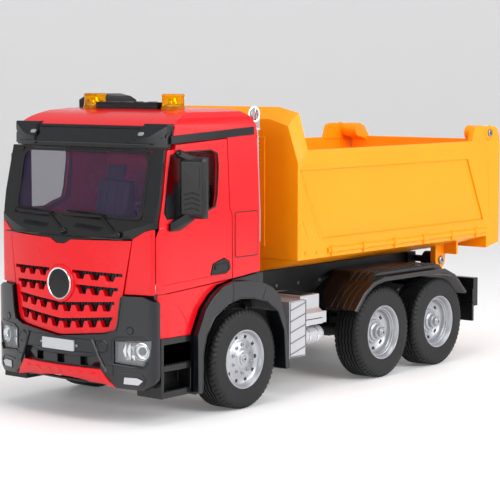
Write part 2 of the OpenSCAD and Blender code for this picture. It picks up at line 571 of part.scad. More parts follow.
// ---------- bed ----------
head_front = [[69.2, 88.5], [69.2, 151.8], [61, 175.3], [45.7, 179.6]];
head_rear = [[69.5, 88.5], [69.5, 159.6], [62, 183.5], [46, 187.3]];
module bed_tub() place() color("#f5a01e") difference() {
  union() {
    // headboard with its forward bevel
    hull() {
      xprof(bed_front - 0.4, bed_front) mirrored(head_front);
      xprof(bed_front - 10.2, bed_front - 9.8) mirrored(head_rear);
    }
    // side walls
    both() xprof(bed_rear + 1.2, bed_front - 9) polygon([[66, 91], [66, bed_top], [bed_hw, bed_top], [bed_hw, 88.6], [65, 88.6]]);
    // floor
    box(bed_rear + 6.5, bed_front - 5, -66.5, 66.5, 91, 94.5);
    // rear posts
    both() box(-301.8, -284.4, 65.5, bed_hw, 88.6, bed_top);
    // ears for the tailgate hinge
    both() {
      yprof(65, 69) polygon([[-263.6, bed_top - 1.2], [-266.4, 167.2], [-268.4, 169.6], [-272.5, 170.5], [-295, 169.8], [-299, 167.8], [-301.8, 162], [-301.8, bed_top - 1.2]]);
      ycyl(gate_x, gate_z, 63, 66, 4.6);
    }
  }
  // recessed side panels
  both() yprof(bed_hw - 0.9, bed_hw + 2) polygon([[-59.5, 146.6], [-258, 146.6], [-280, 101], [-83, 101]]);
  // tailgate pin bores
  both() ycyl(gate_x, gate_z, 60, 70, 2.05);
}

module bed_underframe() place() color("#f5a01e") difference() {
  union() {
    // sloped plates under the side walls
    both() xprof(-284.3, bed_front - 4.1) polygon([[38.7, 79.7], [69.3, 88.5], [62, 88.5], [38.7, 82]]);
    // front closing plate
    xprof(bed_front - 4, bed_front - 0.3) mirrored([[38.7, 79.7], [69.1, 88.4]]);
    // two beams under the floor
    both() box(-284.3, bed_front - 10.2, 30, 34, 82.5, 91);
    both() box(bed_front - 10.3, bed_front - 4.05, 30, 34, 82.5, 88.5);
    for (x = [-110, -170, -230]) box(x - 1.5, x + 1.5, -29.95, 29.95, 86, 91);
    // rear cross beam
    yprof(-64.5, 64.5) polygon([[-284.4, 79.7], [-284.4, 91], [-301.8, 91], [-301.8, 83]]);
    both() yprof(64.4, bed_hw) polygon([[-284.4, 79.7], [-284.4, 88.6], [-301.8, 88.6], [-301.8, 83]]);
    // brackets that hang on the pivot shaft
    both() {
      box(pivot_x - 6.5, pivot_x + 6.5, 44.5, 49, pivot_z, 91);
      ycyl(pivot_x, pivot_z, 44.5, 49, 6.3);
      box(pivot_x - 6.5, pivot_x - 4.5, 44.5, 60, 76, 91);
    }
    // lugs for the lift rod eye
    both() {
      box(lift_e[0] - 10, lift_e[0] + 5, 4.2, 7, lift_e[1], 91);
      ycyl(lift_e[0], lift_e[1], 4.2, 7, 5);
      ycyl(lift_e[0] - 5, lift_e[1], 4.2, 7, 5);
    }
  }
  // pivot bores
  both() ycyl(pivot_x, pivot_z, 43, 51, pivot_r + run);
  // long holes for the lift rod eye
  for (x = [0, -5]) ycyl(lift_e[0] + x, lift_e[1], 3, 8, 2.3);
  box(lift_e[0] - 5, lift_e[0], 3, 8, lift_e[1] - 2.3, lift_e[1] + 2.3);
  box(lift_e[0] - 5, lift_e[0], -8, -3, lift_e[1] - 2.3, lift_e[1] + 2.3);
  for (x = [0, -5]) ycyl(lift_e[0] + x, lift_e[1], -8, -3, 2.3);
}

module tailgate() place() color("#f5a01e") {
  difference() {
    union() {
      box(-300.8, -297, -64, 64, 93.8, 160);
      box(-301.6, -300.7, -58, 58, 96, 100);
      // arms up to the hinge
      both() yprof(50, 62.4) polygon([[-300.8, 150], [-300.8, 160], [-294, 168.5], [gate_x + 2, 170.4], [gate_x + 5, gate_z], [gate_x, 160], [-297, 157]]);
      both() ycyl(gate_x, gate_z, 50, 62.4, 5.4);
    }
    both() box(-296, gate_x + 20, 49, 63, 140, 158);
  }
  both() ycyl(gate_x, gate_z, 55, 68.8, 2);
}

// ---------- lift cylinder ----------
module lift_frame() place() translate([lift_b[0], 0, lift_b[1]]) rotate([0, lift_ang, 0]) rotate([0, -90, 0]) children();
// local z runs from the base pin towards the rod eye
module lift_barrel() color("#3a3c40") lift_frame() difference() {
  union() {
    translate([0, 0, 4]) cylinder(h = lift_len - 14, r = 6.5);
    translate([0, 9, 0]) rotate([90, 0, 0]) cylinder(h = 18, r = 5);
  }
  translate([0, 20, 0]) rotate([90, 0, 0]) cylinder(h = 40, r = 2 + run);
  translate([0, 0, 9]) cylinder(h = 120, r = 4 + run);
}
module lift_rod() color("#c9ccd0") lift_frame() difference() {
  union() {
    translate([0, 0, 10]) cylinder(h = lift_len - 14, r = 4);
    translate([0, 3.5, lift_len]) rotate([90, 0, 0]) cylinder(h = 7, r = 4.8);
  }
  translate([0, 20, lift_len]) rotate([90, 0, 0]) cylinder(h = 40, r = 2.2);
}

chassis_frame();
front_axle_beam();
rear_axles();
leaf_springs();
battery_box();
gearbox();
front_bumper();
headlamps();
skid_plate();
cab_steps();
front_arches();
side_locker();
fuel_tank();
rear_mudguards();
tail_lamp_bar();
exhaust_stack();
cab_shell();
cab_floor();
cab_mounts();
roof();
grille_panel();
corner_panels();
windscreen_surround();
windscreen();
sun_visor();
roof_light_bar();
beacons();
dashboard();
seats();
steering_wheel();
door_left();
door_right();
door_glass_left();
door_glass_right();
mirror_left();
mirror_right();
knuckle_left();
knuckle_right();
tie_rod();
rim_front_left();
rim_front_right();
rim_mid_left();
rim_mid_right();
rim_rear_left();
rim_rear_right();
tyre_front_left();
tyre_front_right();
tyre_mid_left();
tyre_mid_right();
tyre_rear_left();
tyre_rear_right();
bed_tub();
bed_underframe();
tailgate();
lift_barrel();
lift_rod();
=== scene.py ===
import json
import math

import bmesh
import bpy
from mathutils import Matrix, Vector


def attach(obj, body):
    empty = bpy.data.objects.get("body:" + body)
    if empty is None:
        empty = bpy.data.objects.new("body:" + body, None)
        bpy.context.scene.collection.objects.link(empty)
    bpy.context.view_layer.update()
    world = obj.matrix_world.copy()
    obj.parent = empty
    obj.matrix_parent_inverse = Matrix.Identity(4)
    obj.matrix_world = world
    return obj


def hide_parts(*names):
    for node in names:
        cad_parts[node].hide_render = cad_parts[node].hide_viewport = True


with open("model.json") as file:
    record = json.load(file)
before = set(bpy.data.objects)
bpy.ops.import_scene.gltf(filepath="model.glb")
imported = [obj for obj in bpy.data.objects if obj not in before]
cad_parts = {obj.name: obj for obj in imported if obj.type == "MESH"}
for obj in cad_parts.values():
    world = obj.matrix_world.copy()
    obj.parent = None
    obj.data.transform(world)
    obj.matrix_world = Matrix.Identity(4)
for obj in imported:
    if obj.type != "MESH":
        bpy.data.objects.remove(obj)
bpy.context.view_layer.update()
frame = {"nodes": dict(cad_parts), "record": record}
NODES = frame["nodes"]
OX = 104.6  # mm from the middle of the length to the front axle


def P(x, y, z):
    """Millimetres from the front axle to metres in the shared frame."""
    return ((x + OX) / 1000, y / 1000, z / 1000)


# ---------------------------------------------------------------- materials
def srgb(h):
    c = [int(h[i : i + 2], 16) / 255 for i in (0, 2, 4)]
    return tuple(v / 12.92 if v <= 0.04045 else ((v + 0.055) / 1.055) ** 2.4 for v in c)


def material(
    name,
    colour,
    rough,
    metal=0.0,
    coat=0.0,
    bump=0.02,
    scale=900.0,
    var=0.06,
    rvar=0.06,
    alpha=1.0,
    trans=0.0,
    ior=1.5,
    emit=0.0,
    spec=0.5,
):
    m = bpy.data.materials.new(name)
    m.use_nodes = True
    nt = m.node_tree
    b = nt.nodes["Principled BSDF"]
    rgb = srgb(colour)
    b.inputs["Base Color"].default_value = (*rgb, 1)
    b.inputs["Metallic"].default_value = metal
    b.inputs["IOR"].default_value = ior
    b.inputs["Specular IOR Level"].default_value = spec
    b.inputs["Alpha"].default_value = alpha
    b.inputs["Transmission Weight"].default_value = trans
    b.inputs["Coat Weight"].default_value = coat
    b.inputs["Coat Roughness"].default_value = 0.12
    if emit:
        b.inputs["Emission Color"].default_value = (*rgb, 1)
        b.inputs["Emission Strength"].default_value = emit
    tc = nt.nodes.new("ShaderNodeTexCoord")
    big = nt.nodes.new("ShaderNodeTexNoise")
    big.inputs["Scale"].default_value = 22.0
    big.inputs["Detail"].default_value = 3.0
    nt.links.new(tc.outputs["Object"], big.inputs["Vector"])
    # slow variation of the colour
    ramp = nt.nodes.new("ShaderNodeValToRGB")
    ramp.color_ramp.elements[0].position = 0.3
    ramp.color_ramp.elements[1].position = 0.7
    ramp.color_ramp.elements[0].color = (*[max(0, v * (1 - var)) for v in rgb], 1)
    ramp.color_ramp.elements[1].color = (*[min(1, v * (1 + var)) for v in rgb], 1)
    nt.links.new(big.outputs["Fac"], ramp.inputs["Fac"])
    nt.links.new(ramp.outputs["Color"], b.inputs["Base Color"])
    # slow variation of the roughness
    rr = nt.nodes.new("ShaderNodeMapRange")
    rr.inputs["From Min"].default_value = 0.3
    rr.inputs["From Max"].default_value = 0.7
    rr.inputs["To Min"].default_value = max(0.02, rough - rvar)
    rr.inputs["To Max"].default_value = min(1.0, rough + rvar)
    nt.links.new(big.outputs["Fac"], rr.inputs["Value"])
    nt.links.new(rr.outputs["Result"], b.inputs["Roughness"])
    # fine moulded surface
    fine = nt.nodes.new("ShaderNodeTexNoise")
    fine.inputs["Scale"].default_value = scale
    fine.inputs["Detail"].default_value = 2.0
    nt.links.new(tc.outputs["Object"], fine.inputs["Vector"])
    bp = nt.nodes.new("ShaderNodeBump")
    bp.inputs["Strength"].default_value = bump
    bp.inputs["Distance"].default_value = 0.0004
    nt.links.new(fine.outputs["Fac"], bp.inputs["Height"])
    nt.links.new(bp.outputs["Normal"], b.inputs["Normal"])
    return m


M = {
    "red_plastic": material("red_plastic", "dd0514", 0.24, coat=0.15, bump=0.03, scale=600, var=0.03, spec=0.35),
    "orange_plastic": material("orange_plastic", "ff9806", 0.36, bump=0.05, scale=700, var=0.03, spec=0.3),
    "dark_grey_plastic": material("dark_grey_plastic", "101216", 0.2, coat=0.25, bump=0.06, scale=1600, var=0.08, spec=0.4),
    "black_plastic": material("black_plastic", "0e0f11", 0.24, bump=0.10, scale=1500, var=0.1, spec=0.4),
    "black_chassis": material("black_chassis", "111213", 0.4, bump=0.12, scale=1200, var=0.1, spec=0.4),
    "silver_plastic": material("silver_plastic", "bcbdc1", 0.34, metal=0.55, bump=0.06, scale=1400, var=0.03),
    "chrome_trim": material("chrome_trim", "e4e6e8", 0.14, metal=1.0, bump=0.01, scale=600, var=0.02),
    "rim_silver": material("rim_silver", "abadb2", 0.33, metal=0.6, bump=0.05, scale=1500, var=0.03),
    "steel_pin": material("steel_pin", "a9acb0", 0.3, metal=1.0, bump=0.04, scale=1200, var=0.05),
    "tyre_rubber": material("tyre_rubber", "131416", 0.55, bump=0.35, scale=1800, var=0.12, spec=0.35),
    "window_tint": material("window_tint", "4a4060", 0.05, alpha=0.20, bump=0.0, scale=100, var=0.02, rvar=0.02),
    "lamp_clear": material("lamp_clear", "e9eef2", 0.07, alpha=0.12, bump=0.02, scale=500, var=0.02, rvar=0.03),
    "amber_lens": material("amber_lens", "ffb400", 0.12, trans=0.75, bump=0.02, scale=500, var=0.03, ior=1.25),
    "interior_grey": material("interior_grey", "2e2d35", 0.5, bump=0.0, scale=1300, var=0.08, spec=0.3),
}
# mudguard ribs: low roughness and coat for real reflections, and a colour a little lighter than the black plastic as
# painted highlight along the ribs
GLOSSY_RIB_PAINTED_SHEEN = material("glossy_black_painted_sheen", "1d1b1a", 0.12, coat=0.6, bump=0.02, scale=900, var=0.05)
GREY_MARK = material("grey_print", "74777c", 0.42, bump=0.02, scale=900, var=0.02)
PLATE = material("plate_white", "b9bcbf", 0.35, bump=0.02, scale=900, var=0.02)
DOOR_TINT = material("door_window_tint", "12080d", 0.05, alpha=0.28, bump=0.0, scale=100, var=0.02, rvar=0.02)
RED_LAMP = material("red_lens", "b00010", 0.14, trans=0.2, bump=0.02, scale=500, var=0.05)
GAP = material("seam_shadow", "120305", 0.7, bump=0.02, scale=900, var=0.1)
MIRROR = material("mirror_face", "c9ced2", 0.05, metal=1.0, bump=0.0, scale=300, var=0.02, rvar=0.02)

SLOT_OF = {}
for row in frame["record"]["subparts"]:
    SLOT_OF[row["node"]] = row["material_slot"]


# ---------------------------------------------------------------- finish of the CAD nodes
def edge_group():
    g = bpy.data.node_groups.new("clean_shell", "GeometryNodeTree")
    g.interface.new_socket("Geometry", in_out="INPUT", socket_type="NodeSocketGeometry")
    g.interface.new_socket("Geometry", in_out="OUTPUT", socket_type="NodeSocketGeometry")
    a, z = g.nodes.new("NodeGroupInput"), g.nodes.new("NodeGroupOutput")
    rm = g.nodes.new("GeometryNodeRemoveAttribute")
    rm.inputs["Name"].default_value = "custom_normal"
    mg = g.nodes.new("GeometryNodeMergeByDistance")
    mg.inputs["Distance"].default_value = 1e-6
    s1 = g.nodes.new("GeometryNodeSetShadeSmooth")
    s1.domain = "EDGE"
    s2 = g.nodes.new("GeometryNodeSetShadeSmooth")
    s2.domain = "FACE"
    g.links.new(a.outputs[0], rm.inputs["Geometry"])
    g.links.new(rm.outputs["Geometry"], mg.inputs["Geometry"])
    g.links.new(mg.outputs["Geometry"], s1.inputs["Geometry"])
    g.links.new(s1.outputs["Geometry"], s2.inputs["Geometry"])
    g.links.new(s2.outputs["Geometry"], z.inputs[0])
    return g


CLEAN = edge_group()


def soften(o, width, segments=2, angle=28, planar=True):
    """Rounded moulded edges, as modifiers only."""
    c = o.modifiers.new("clean", "NODES")
    c.node_group = CLEAN
    if planar:
        d = o.modifiers.new("planar", "DECIMATE")
        d.decimate_type = "DISSOLVE"
        d.angle_limit = math.radians(0.6)
    b = o.modifiers.new("edge", "BEVEL")
    b.width = width / 1000
    b.segments = segments
    b.limit_method = "ANGLE"
    b.angle_limit = math.radians(angle)
    b.use_clamp_overlap = True
    b.miter_outer = "MITER_ARC"
    w = o.modifiers.new("normals", "WEIGHTED_NORMAL")
    w.keep_sharp = False
    w.weight = 60


BEVEL = {
    "bed_tub": 0.55, "tailgate": 0.5, "bed_underframe": 0.3, "roof": 3.4, "cab_shell": 0.5, "front_bumper": 1.8,
    "sun_visor": 1.6, "grille_panel": 0.3, "corner_panels": 0.45, "front_arches": 0.5, "door_left": 0.35,
    "door_right": 0.35, "mirror_left": 0.7, "mirror_right": 0.7, "side_locker": 0.5, "fuel_tank": 0.6,
    "rear_mudguards": 0.4, "skid_plate": 0.5, "cab_steps": 0.35, "roof_light_bar": 0.5, "windscreen_surround": 0.45,
    "seats": 1.4, "dashboard": 0.8, "exhaust_stack": 0.2, "chassis_frame": 0.35, "tail_lamp_bar": 0.3,
}
for n, o in NODES.items():
    slot = SLOT_OF.get(n, "black_chassis")
    o.data.materials.clear()
    o.data.materials.append(M.get(slot, M["black_chassis"]))
    if n.startswith(("tyre_", "rim_")):
        continue
    if "glass" in n:
        o.data.materials[0] = DOOR_TINT
    if "glass" in n or n == "windscreen":
        continue
    soften(o, BEVEL.get(n, 0.25), 4 if n == "roof" else 2)


# ---------------------------------------------------------------- mesh building
class Part:
    """Collects faces in millimetres from the front axle."""

    def __init__(self):
        self.v, self.f, self.m = [], [], []

    def add(self, verts, faces, mat=0):
        k = len(self.v)
        self.v += [tuple(p) for p in verts]
        self.f += [tuple(i + k for i in f) for f in faces]
        self.m += [mat] * len(faces)
        return self

    def loft(self, rings, mat=0, caps=True, closed=True):
        n = len(rings[0])
        verts = [p for r in rings for p in r]
        faces = []
        for i in range(len(rings) - 1):
            for j in range(n if closed else n - 1):
                a, b = i * n + j, i * n + (j + 1) % n
                faces.append((a, b, b + n, a + n))
        if caps and closed:
            faces.append(tuple(reversed(range(n))))
            faces.append(tuple(range((len(rings) - 1) * n, len(rings) * n)))
        return self.add(verts, faces, mat)

    def prism(self, poly, axis, a, b, mat=0):
        """poly in the other two axes, in order (x,y,z without axis)."""

        def at(p, t):
            return {"x": (t, p[0], p[1]), "y": (p[0], t, p[1]), "z": (p[0], p[1], t)}[axis]

        return self.loft([[at(p, a) for p in poly], [at(p, b) for p in poly]], mat)

    def box(self, x0, x1, y0, y1, z0, z1, mat=0):
        return self.prism([(x0, z0), (x1, z0), (x1, z1), (x0, z1)], "y", y0, y1, mat)

    def tube(self, pts, r, n=10, mat=0, squash=1.0):
        rings = []
        pts = [Vector(p) for p in pts]
        up = None
        for i, p in enumerate(pts):
            d = (pts[min(i + 1, len(pts) - 1)] - pts[max(i - 1, 0)]).normalized()
            if up is None:
                up = Vector((0, 0, 1)) if abs(d.z) < 0.9 else Vector((1, 0, 0))
            s = d.cross(up).normalized()
            up = s.cross(d).normalized()
            rings.append([p + r * (math.cos(t) * s + squash * math.sin(t) * up) for t in [2 * math.pi * k / n for k in range(n)]])
        return self.loft(rings, mat)

    def lathe(self, prof, origin, axis, n=48, mat=0):
        """prof is (radius, distance along axis); starts and ends may lie on the axis."""
        ax = Vector(axis).normalized()
        s = ax.orthogonal().normalized()
        t = ax.cross(s)
        o = Vector(origin)
        verts, faces, rings = [], [], []
        for r, h in prof:
            if r < 1e-6:
                rings.append([len(verts)])
                verts.append(o + ax * h)
            else:
                rings.append(list(range(len(verts), len(verts) + n)))
                verts += [o + ax * h + r * (math.cos(a) * s + math.sin(a) * t) for a in [2 * math.pi * k / n for k in range(n)]]
        for a, b in zip(rings, rings[1:]):
            if len(a) == 1 and len(b) == 1:
                continue
            for k in range(n):
                k2 = (k + 1) % n
                if len(a) == 1:
                    faces.append((a[0], b[k], b[k2]))
                elif len(b) == 1:
                    faces.append((a[k], a[k2], b[0]))
                else:
                    faces.append((a[k], a[k2], b[k2], b[k]))
        return self.add(verts, faces, mat)

    def sheet(self, loops, to3, depth, mat=0):
        """A plate with holes: loops[0] outer, the others holes, in 2-D; to3(u, v, w) gives the point, w from 0 to depth."""
        bm = bmesh.new()
        for lp in loops:
            vs = [bm.verts.new((u, v, 0)) for u, v in lp]
            for i in range(len(vs)):
                bm.edges.new((vs[i], vs[(i + 1) % len(vs)]))
        bmesh.ops.triangle_fill(bm, use_beauty=True, use_dissolve=False, edges=bm.edges[:])
        bm.verts.index_update()
        flat = [(v.co.x, v.co.y) for v in bm.verts]
        tris = []
        for f in bm.faces:
            idx = [v.index for v in f.verts]
            if f.normal.z < 0:
                idx.reverse()
            tris.append(tuple(idx))
        bm.free()
        n = len(flat)
        verts = [to3(u, v, depth) for u, v in flat] + [to3(u, v, 0) for u, v in flat]
        faces = list(tris) + [tuple(reversed([i + n for i in t])) for t in tris]
        k = 0
        for lp in loops:
            m = len(lp)
            for i in range(m):
                a, b = k + i, k + (i + 1) % m
                faces.append((a, a + n, b + n, b))
            k += m
        return self.add(verts, faces, mat)

    def flip_y(self):
        self.v = [(x, -y, z) for x, y, z in self.v]
        self.f = [tuple(reversed(f)) for f in self.f]
        return self

    def also_right(self):
        k = len(self.v)
        self.v += [(x, -y, z) for x, y, z in self.v]
        self.f += [tuple(i + k for i in reversed(f)) for f in self.f]
        self.m += list(self.m)
        return self


def piece(name, part, body, slot, mats=None, bevel=0.0, smooth=35, segments=2):
    me = bpy.data.meshes.new(name)
    me.from_pydata([P(*p) for p in part.v], [], part.f)
    bm = bmesh.new()
    bm.from_mesh(me)
    bmesh.ops.recalc_face_normals(bm, faces=bm.faces[:])
    bm.to_mesh(me)
    bm.free()
    for m in mats or [M[slot]]:
        me.materials.append(m)
    me.polygons.foreach_set("material_index", part.m)
    me.polygons.foreach_set("use_smooth", [True] * len(me.polygons))
    me.set_sharp_from_angle(angle=math.radians(smooth))
    o = bpy.data.objects.new(name, me)
    bpy.context.scene.collection.objects.link(o)
    if bevel:
        b = o.modifiers.new("edge", "BEVEL")
        b.width = bevel / 1000
        b.segments = segments
        b.limit_method = "ANGLE"
        b.angle_limit = math.radians(30)
        b.use_clamp_overlap = True
        b.harden_normals = True
    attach(o, body)
    return o


def arc_x(front, y, radius=170.0):
    return front - radius + math.sqrt(radius * radius - y * y)


def circle(cx, cy, r, n=24, start=0.0):
    return [(cx + r * math.cos(start + 2 * math.pi * k / n), cy + r * math.sin(start + 2 * math.pi * k / n)) for k in range(n)]


def rounded(x0, x1, y0, y1, r, n=4):
    pts = []
    for cx, cy, a in ((x1 - r, y1 - r, 0), (x0 + r, y1 - r, 90), (x0 + r, y0 + r, 180), (x1 - r, y0 + r, 270)):
        for k in range(n + 1):
            t = math.radians(a + 90 * k / n)
            pts.append((cx + r * math.cos(t), cy + r * math.sin(t)))
    return pts


def plus(r, w, turn=0.35):
    pts = [(w, w), (w, r), (-w, r), (-w, w), (-r, w), (-r, -w), (-w, -w), (-w, -r), (w, -r), (w, -w), (r, -w), (r, w)]
    c, s = math.cos(turn), math.sin(turn)
    return [(x * c - y * s, x * s + y * c) for x, y in pts]


def screw(part, centre, axis, r, h, mat=0, painted_recess_shade=None, turn=0.35):
    """A round screw head with a cross recess, and an optional dark disc at the bottom of the recess as painted shade.
    """
    ax = Vector(axis).normalized()
    s = ax.orthogonal().normalized()
    t = ax.cross(s)
    c = Vector(centre)

    def to3(u, v, w):
        return c + s * u + t * v + ax * w

    part.sheet([circle(0, 0, r * 0.86, 28), list(reversed(plus(r * 0.55, r * 0.13, turn)))], lambda u, v, w: to3(u, v, h * 0.45 + w), h * 0.55, mat)
    part.lathe([(r * 0.86, h), (r * 0.97, h * 0.8), (r, h * 0.4), (r, 0), (0, 0), (0, h * 0.4), (r * 0.86, h * 0.4)], c, ax, 28, mat)
    if painted_recess_shade is not None:
        # dark disc at the bottom of the cross recess: painted shade
        part.lathe([(0, h * 0.47), (r * 0.6, h * 0.47), (r * 0.6, h * 0.42), (0, h * 0.42)], c, ax, 16, painted_recess_shade)


# ---------------------------------------------------------------- tyres
R_T, H_T, R_RIM = 31.5, 10.5, 18.5


def tyre_part(cx, yc, cz):
    part = Part()
    lugs = 56
    fr = [(0.0, 1), (0.07, 0), (0.40, 0), (0.47, 1), (0.74, 1)]
    angles, state = [], []
    for k in range(lugs):
        for f, s in fr:
            angles.append((k + f) / lugs * 2 * math.pi)
            state.append(s)
    n = len(angles)
    # rings: (y offset, radius, zigzag share, notch depth)
    half = [(-H_T + 0.7, R_RIM + 0.05, 0, 0), (-H_T + 0.15, R_RIM + 0.5, 0, 0), (-H_T, R_RIM + 1.4, 0, 0), (-H_T, 22.4, 0, 0),
            (-H_T + 0.02, 22.6, 0, 0), (-H_T, 23.2, 0, 0), (-H_T, 27.2, 0, 0), (-H_T + 0.25, 28.3, 0, 0), (-H_T + 0.3, 28.4, 0, 0.0), (-H_T + 0.75, 29.6, 0, 0.55),
            (-H_T + 1.5, 30.9, 0, 0.8), (-H_T + 2.3, 31.45, 0, 0.85), (-H_T + 3.1, 31.5, 0, 0.2)]
    rings = list(half)
    for c in (-5.4, -2.7, 0, 2.7, 5.4):
        rings += [(c - 0.62, 31.5, 1, 0), (c - 0.42, 30.1, 1, 0), (c + 0.42, 30.1, 1, 0), (c + 0.62, 31.5, 1, 0)]
    rings += [(-y, r, z, d) for y, r, z, d in reversed(half)]
    verts = []
    for y, r, zig, dep in rings:
        for a, s, i in zip(angles, state, range(n)):
            t = (a * lugs / (2 * math.pi) / 2) % 1.0
            tri = 4 * abs(t - 0.5) - 1
            rr = r - (dep if s == 0 else 0)
            verts.append((cx + rr * math.cos(a), yc + y + zig * 0.38 * tri, cz + rr * math.sin(a)))
    faces = []
    m = len(rings)
    for i in range(m - 1):
        for j in range(n):
            j2 = (j + 1) % n
            faces.append((i * n + j, i * n + j2, (i + 1) * n + j2, (i + 1) * n + j))
    # closed at the bead
    k = len(verts)
    for y in (-H_T + 0.7, H_T - 0.7):
        for a in angles:
            verts.append((cx + (R_RIM - 0.3) * math.cos(a), yc + y, cz + (R_RIM - 0.3) * math.sin(a)))
    for j in range(n):
        j2 = (j + 1) % n
        faces.append((k + j, k + j2, j2, j))
        faces.append(((m - 1) * n + j, (m - 1) * n + j2, k + n + j2, k + n + j))
        faces.append((k + n + j, k + n + j2, k + j2, k + j))
    part.add(verts, faces)
    return part


def polar_disc(part, prof, holes, count, cx, yc, cz, sub=2, duty=0.5, out=1, depth=2.2, mat=0, phase=0.0):
    """A turned disc with holes. prof: (r, y) from the middle outwards; holes: (first, last) index of the ring with openings."""
    step = 2 * math.pi / count
    angles = []
    for k in range(count):
        a0 = k * step + phase
        w = step * duty
        for i in range(sub + 1):
            angles.append(a0 - w / 2 + w * i / sub)
        rest = step - w
        for i in range(1, sub + 1):
            angles.append(a0 + w / 2 + rest * i / (sub + 1))
    per = 2 * sub + 1
    n = len(angles)

    def pt(r, y, a):
        return (cx + r * math.cos(a), yc + out * y, cz + r * math.sin(a))

    verts, faces = [], []
    for r, y in prof:
        verts += [pt(r, y, a) for a in angles]
    for i in range(len(prof) - 1):
        for j in range(n):
            if holes and holes[0] <= i < holes[1] and (j % per) < sub:
                continue
            j2 = (j + 1) % n
            faces.append((i * n + j, i * n + j2, (i + 1) * n + j2, (i + 1) * n + j))
    if holes:
        for k in range(count):
            loop = [(holes[0], k * per + j) for j in range(sub + 1)]
            loop += [(i, k * per + sub) for i in range(holes[0] + 1, holes[1] + 1)]
            loop += [(holes[1], k * per + j) for j in range(sub - 1, -1, -1)]
            loop += [(i, k * per) for i in range(holes[1] - 1, holes[0], -1)]
            base = len(verts)
            for i, j in loop:
                r, y = prof[i]
                verts.append(pt(r, y - depth, angles[j % n]))
            for q in range(len(loop)):
                a, b = loop[q], loop[(q + 1) % len(loop)]
                faces.append((a[0] * n + a[1] % n, b[0] * n + b[1] % n, base + (q + 1) % len(loop), base + q))
    part.add(verts, faces, mat)


def rim_part(cx, yc, cz, out, deep):
    part = Part()
    h = H_T
    lip = [(17.0, h - 1.9), (17.4, h - 0.9), (17.9, h - 0.35), (18.5, h - 0.4), (18.75, h - 0.9), (18.5, h - 1.6), (18.45, -h + 0.8), (17.2, -h + 0.8), (15.9, -h + 1.2)]
    if deep:
        prof = [(5.0, 0.6), (8.4, 0.6), (10.2, 0.9), (11.0, 1.3), (12.9, 1.6), (13.9, 2.2), (14.6, 3.2), (15.0, 5.2), (15.5, 5.6), (15.8, 6.8), (16.4, 7.0), (16.7, 7.9)] + lip
        polar_disc(part, prof, (3, 4), 8, cx, yc, cz, sub=4, duty=0.34, out=out, depth=2.4)
        part.lathe([(2.15, 9.45), (0, 9.45), (0, 9.75), (2.9, 9.75), (3.3, 9.3), (3.3, 7.2), (4.6, 6.9), (4.9, 6.5), (4.9, 4.6), (6.0, 4.3), (6.6, 3.9), (6.8, 2.9), (8.0, 2.7), (8.3, 2.3), (8.3, 0.4), (2.15, 0.4), (2.15, 9.45)], (cx, yc, cz), (0, out, 0), 40)
        nuts, rad, base = 0, 8.9, 0.9
    else:
        prof = [(3.5, 8.9), (5.4, 8.8), (6.4, 8.0), (7.2, 7.5), (10.9, 7.3), (11.8, 6.6), (13.1, 6.3), (15.1, 6.5), (15.9, 6.9), (16.5, 7.3)] + lip
        polar_disc(part, prof, (6, 7), 10, cx, yc, cz, sub=3, duty=0.27, out=out, depth=2.4)
        part.lathe([(0, 8.0), (4.0, 8.0), (4.0, 9.3), (3.7, 9.6), (0, 9.6)], (cx, yc, cz), (0, out, 0), 40)
        nuts, rad, base = 10, 9.1, 7.35
    for k in range(nuts):
        a = 2 * math.pi * (k + 0.5) / nuts
        c = (cx + rad * math.cos(a), yc, cz + rad * math.sin(a))
        part.lathe([(0, base + 0.35), (0.5, base + 0.35), (0.62, base + 1.0), (0.95, base + 1.0), (1.15, base + 0.7), (1.2, base - 0.3), (0, base - 0.3)], c, (0, out, 0), 14)
    return part


WHEELS = [("front", 0.0, False), ("mid", -149.3, True), ("rear", -217.7, True)]
for wname, wx, deep in WHEELS:
    for side, sgn in (("left", 1), ("right", -1)):
        yc = sgn * (72.2 - H_T)
        body = f"wheel_{wname}_{side[0]}"
        t = piece(f"tread_{wname}_{side}", tyre_part(wx, yc, 31.5), body, "tyre_rubber", smooth=32)
        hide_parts(f"tyre_{wname}_{side}")
        rp = rim_part(wx, yc, 31.5, sgn, deep)
        r = piece(f"wheel_disc_{wname}_{side}", rp, body, "rim_silver", smooth=38)
        cap = Part()
        hgt = 9.75 if deep else 9.6
        screw(cap, (wx, yc + sgn * (hgt - 0.25), 31.5), (0, sgn, 0), 2.2 if deep else 2.3, 0.7, 0, 1, turn=0.5)
        piece(f"hub_screw_{wname}_{side}", cap, body, "steel_pin", [M["steel_pin"], M["black_chassis"]], smooth=40)
        back = Part()
        back.lathe([(2.1, -5.5), (2.1, -6.2), (14.8, -6.2), (15.4, -5.6), (15.4, -4.2), (14.0, -3.6), (9.0, -3.0), (8.0, -1.4), (2.1, -1.4), (2.1, -5.5)], (wx, yc, 31.5), (0, sgn, 0), 40)
        piece(f"wheel_back_{wname}_{side}", back, body, "black_chassis")
        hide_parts(f"rim_{wname}_{side}")

# ---------------------------------------------------------------- grille
ROWS = [(90.4, 9.8, 46, -0.02), (81.7, 12.6, 43, -0.02), (70.8, -0.1, 40.4, 0.068), (60.8, -0.1, 39.2, 0.088)]


def ring_strip(part, y0, y1, ztop, zbot, front, thick, steps=12, mat=0):
    """A strip that follows the fascia arc."""
    rings = []
    for k in range(steps + 1):
        y = y0 + (y1 - y0) * k / steps
        x = arc_x(front, y)
        a, b = zbot(y), ztop(y)
        rings.append([(x, y, a), (x, y, b), (x - thick, y, b), (x - thick, y, a)])
    part.loft(rings, mat)


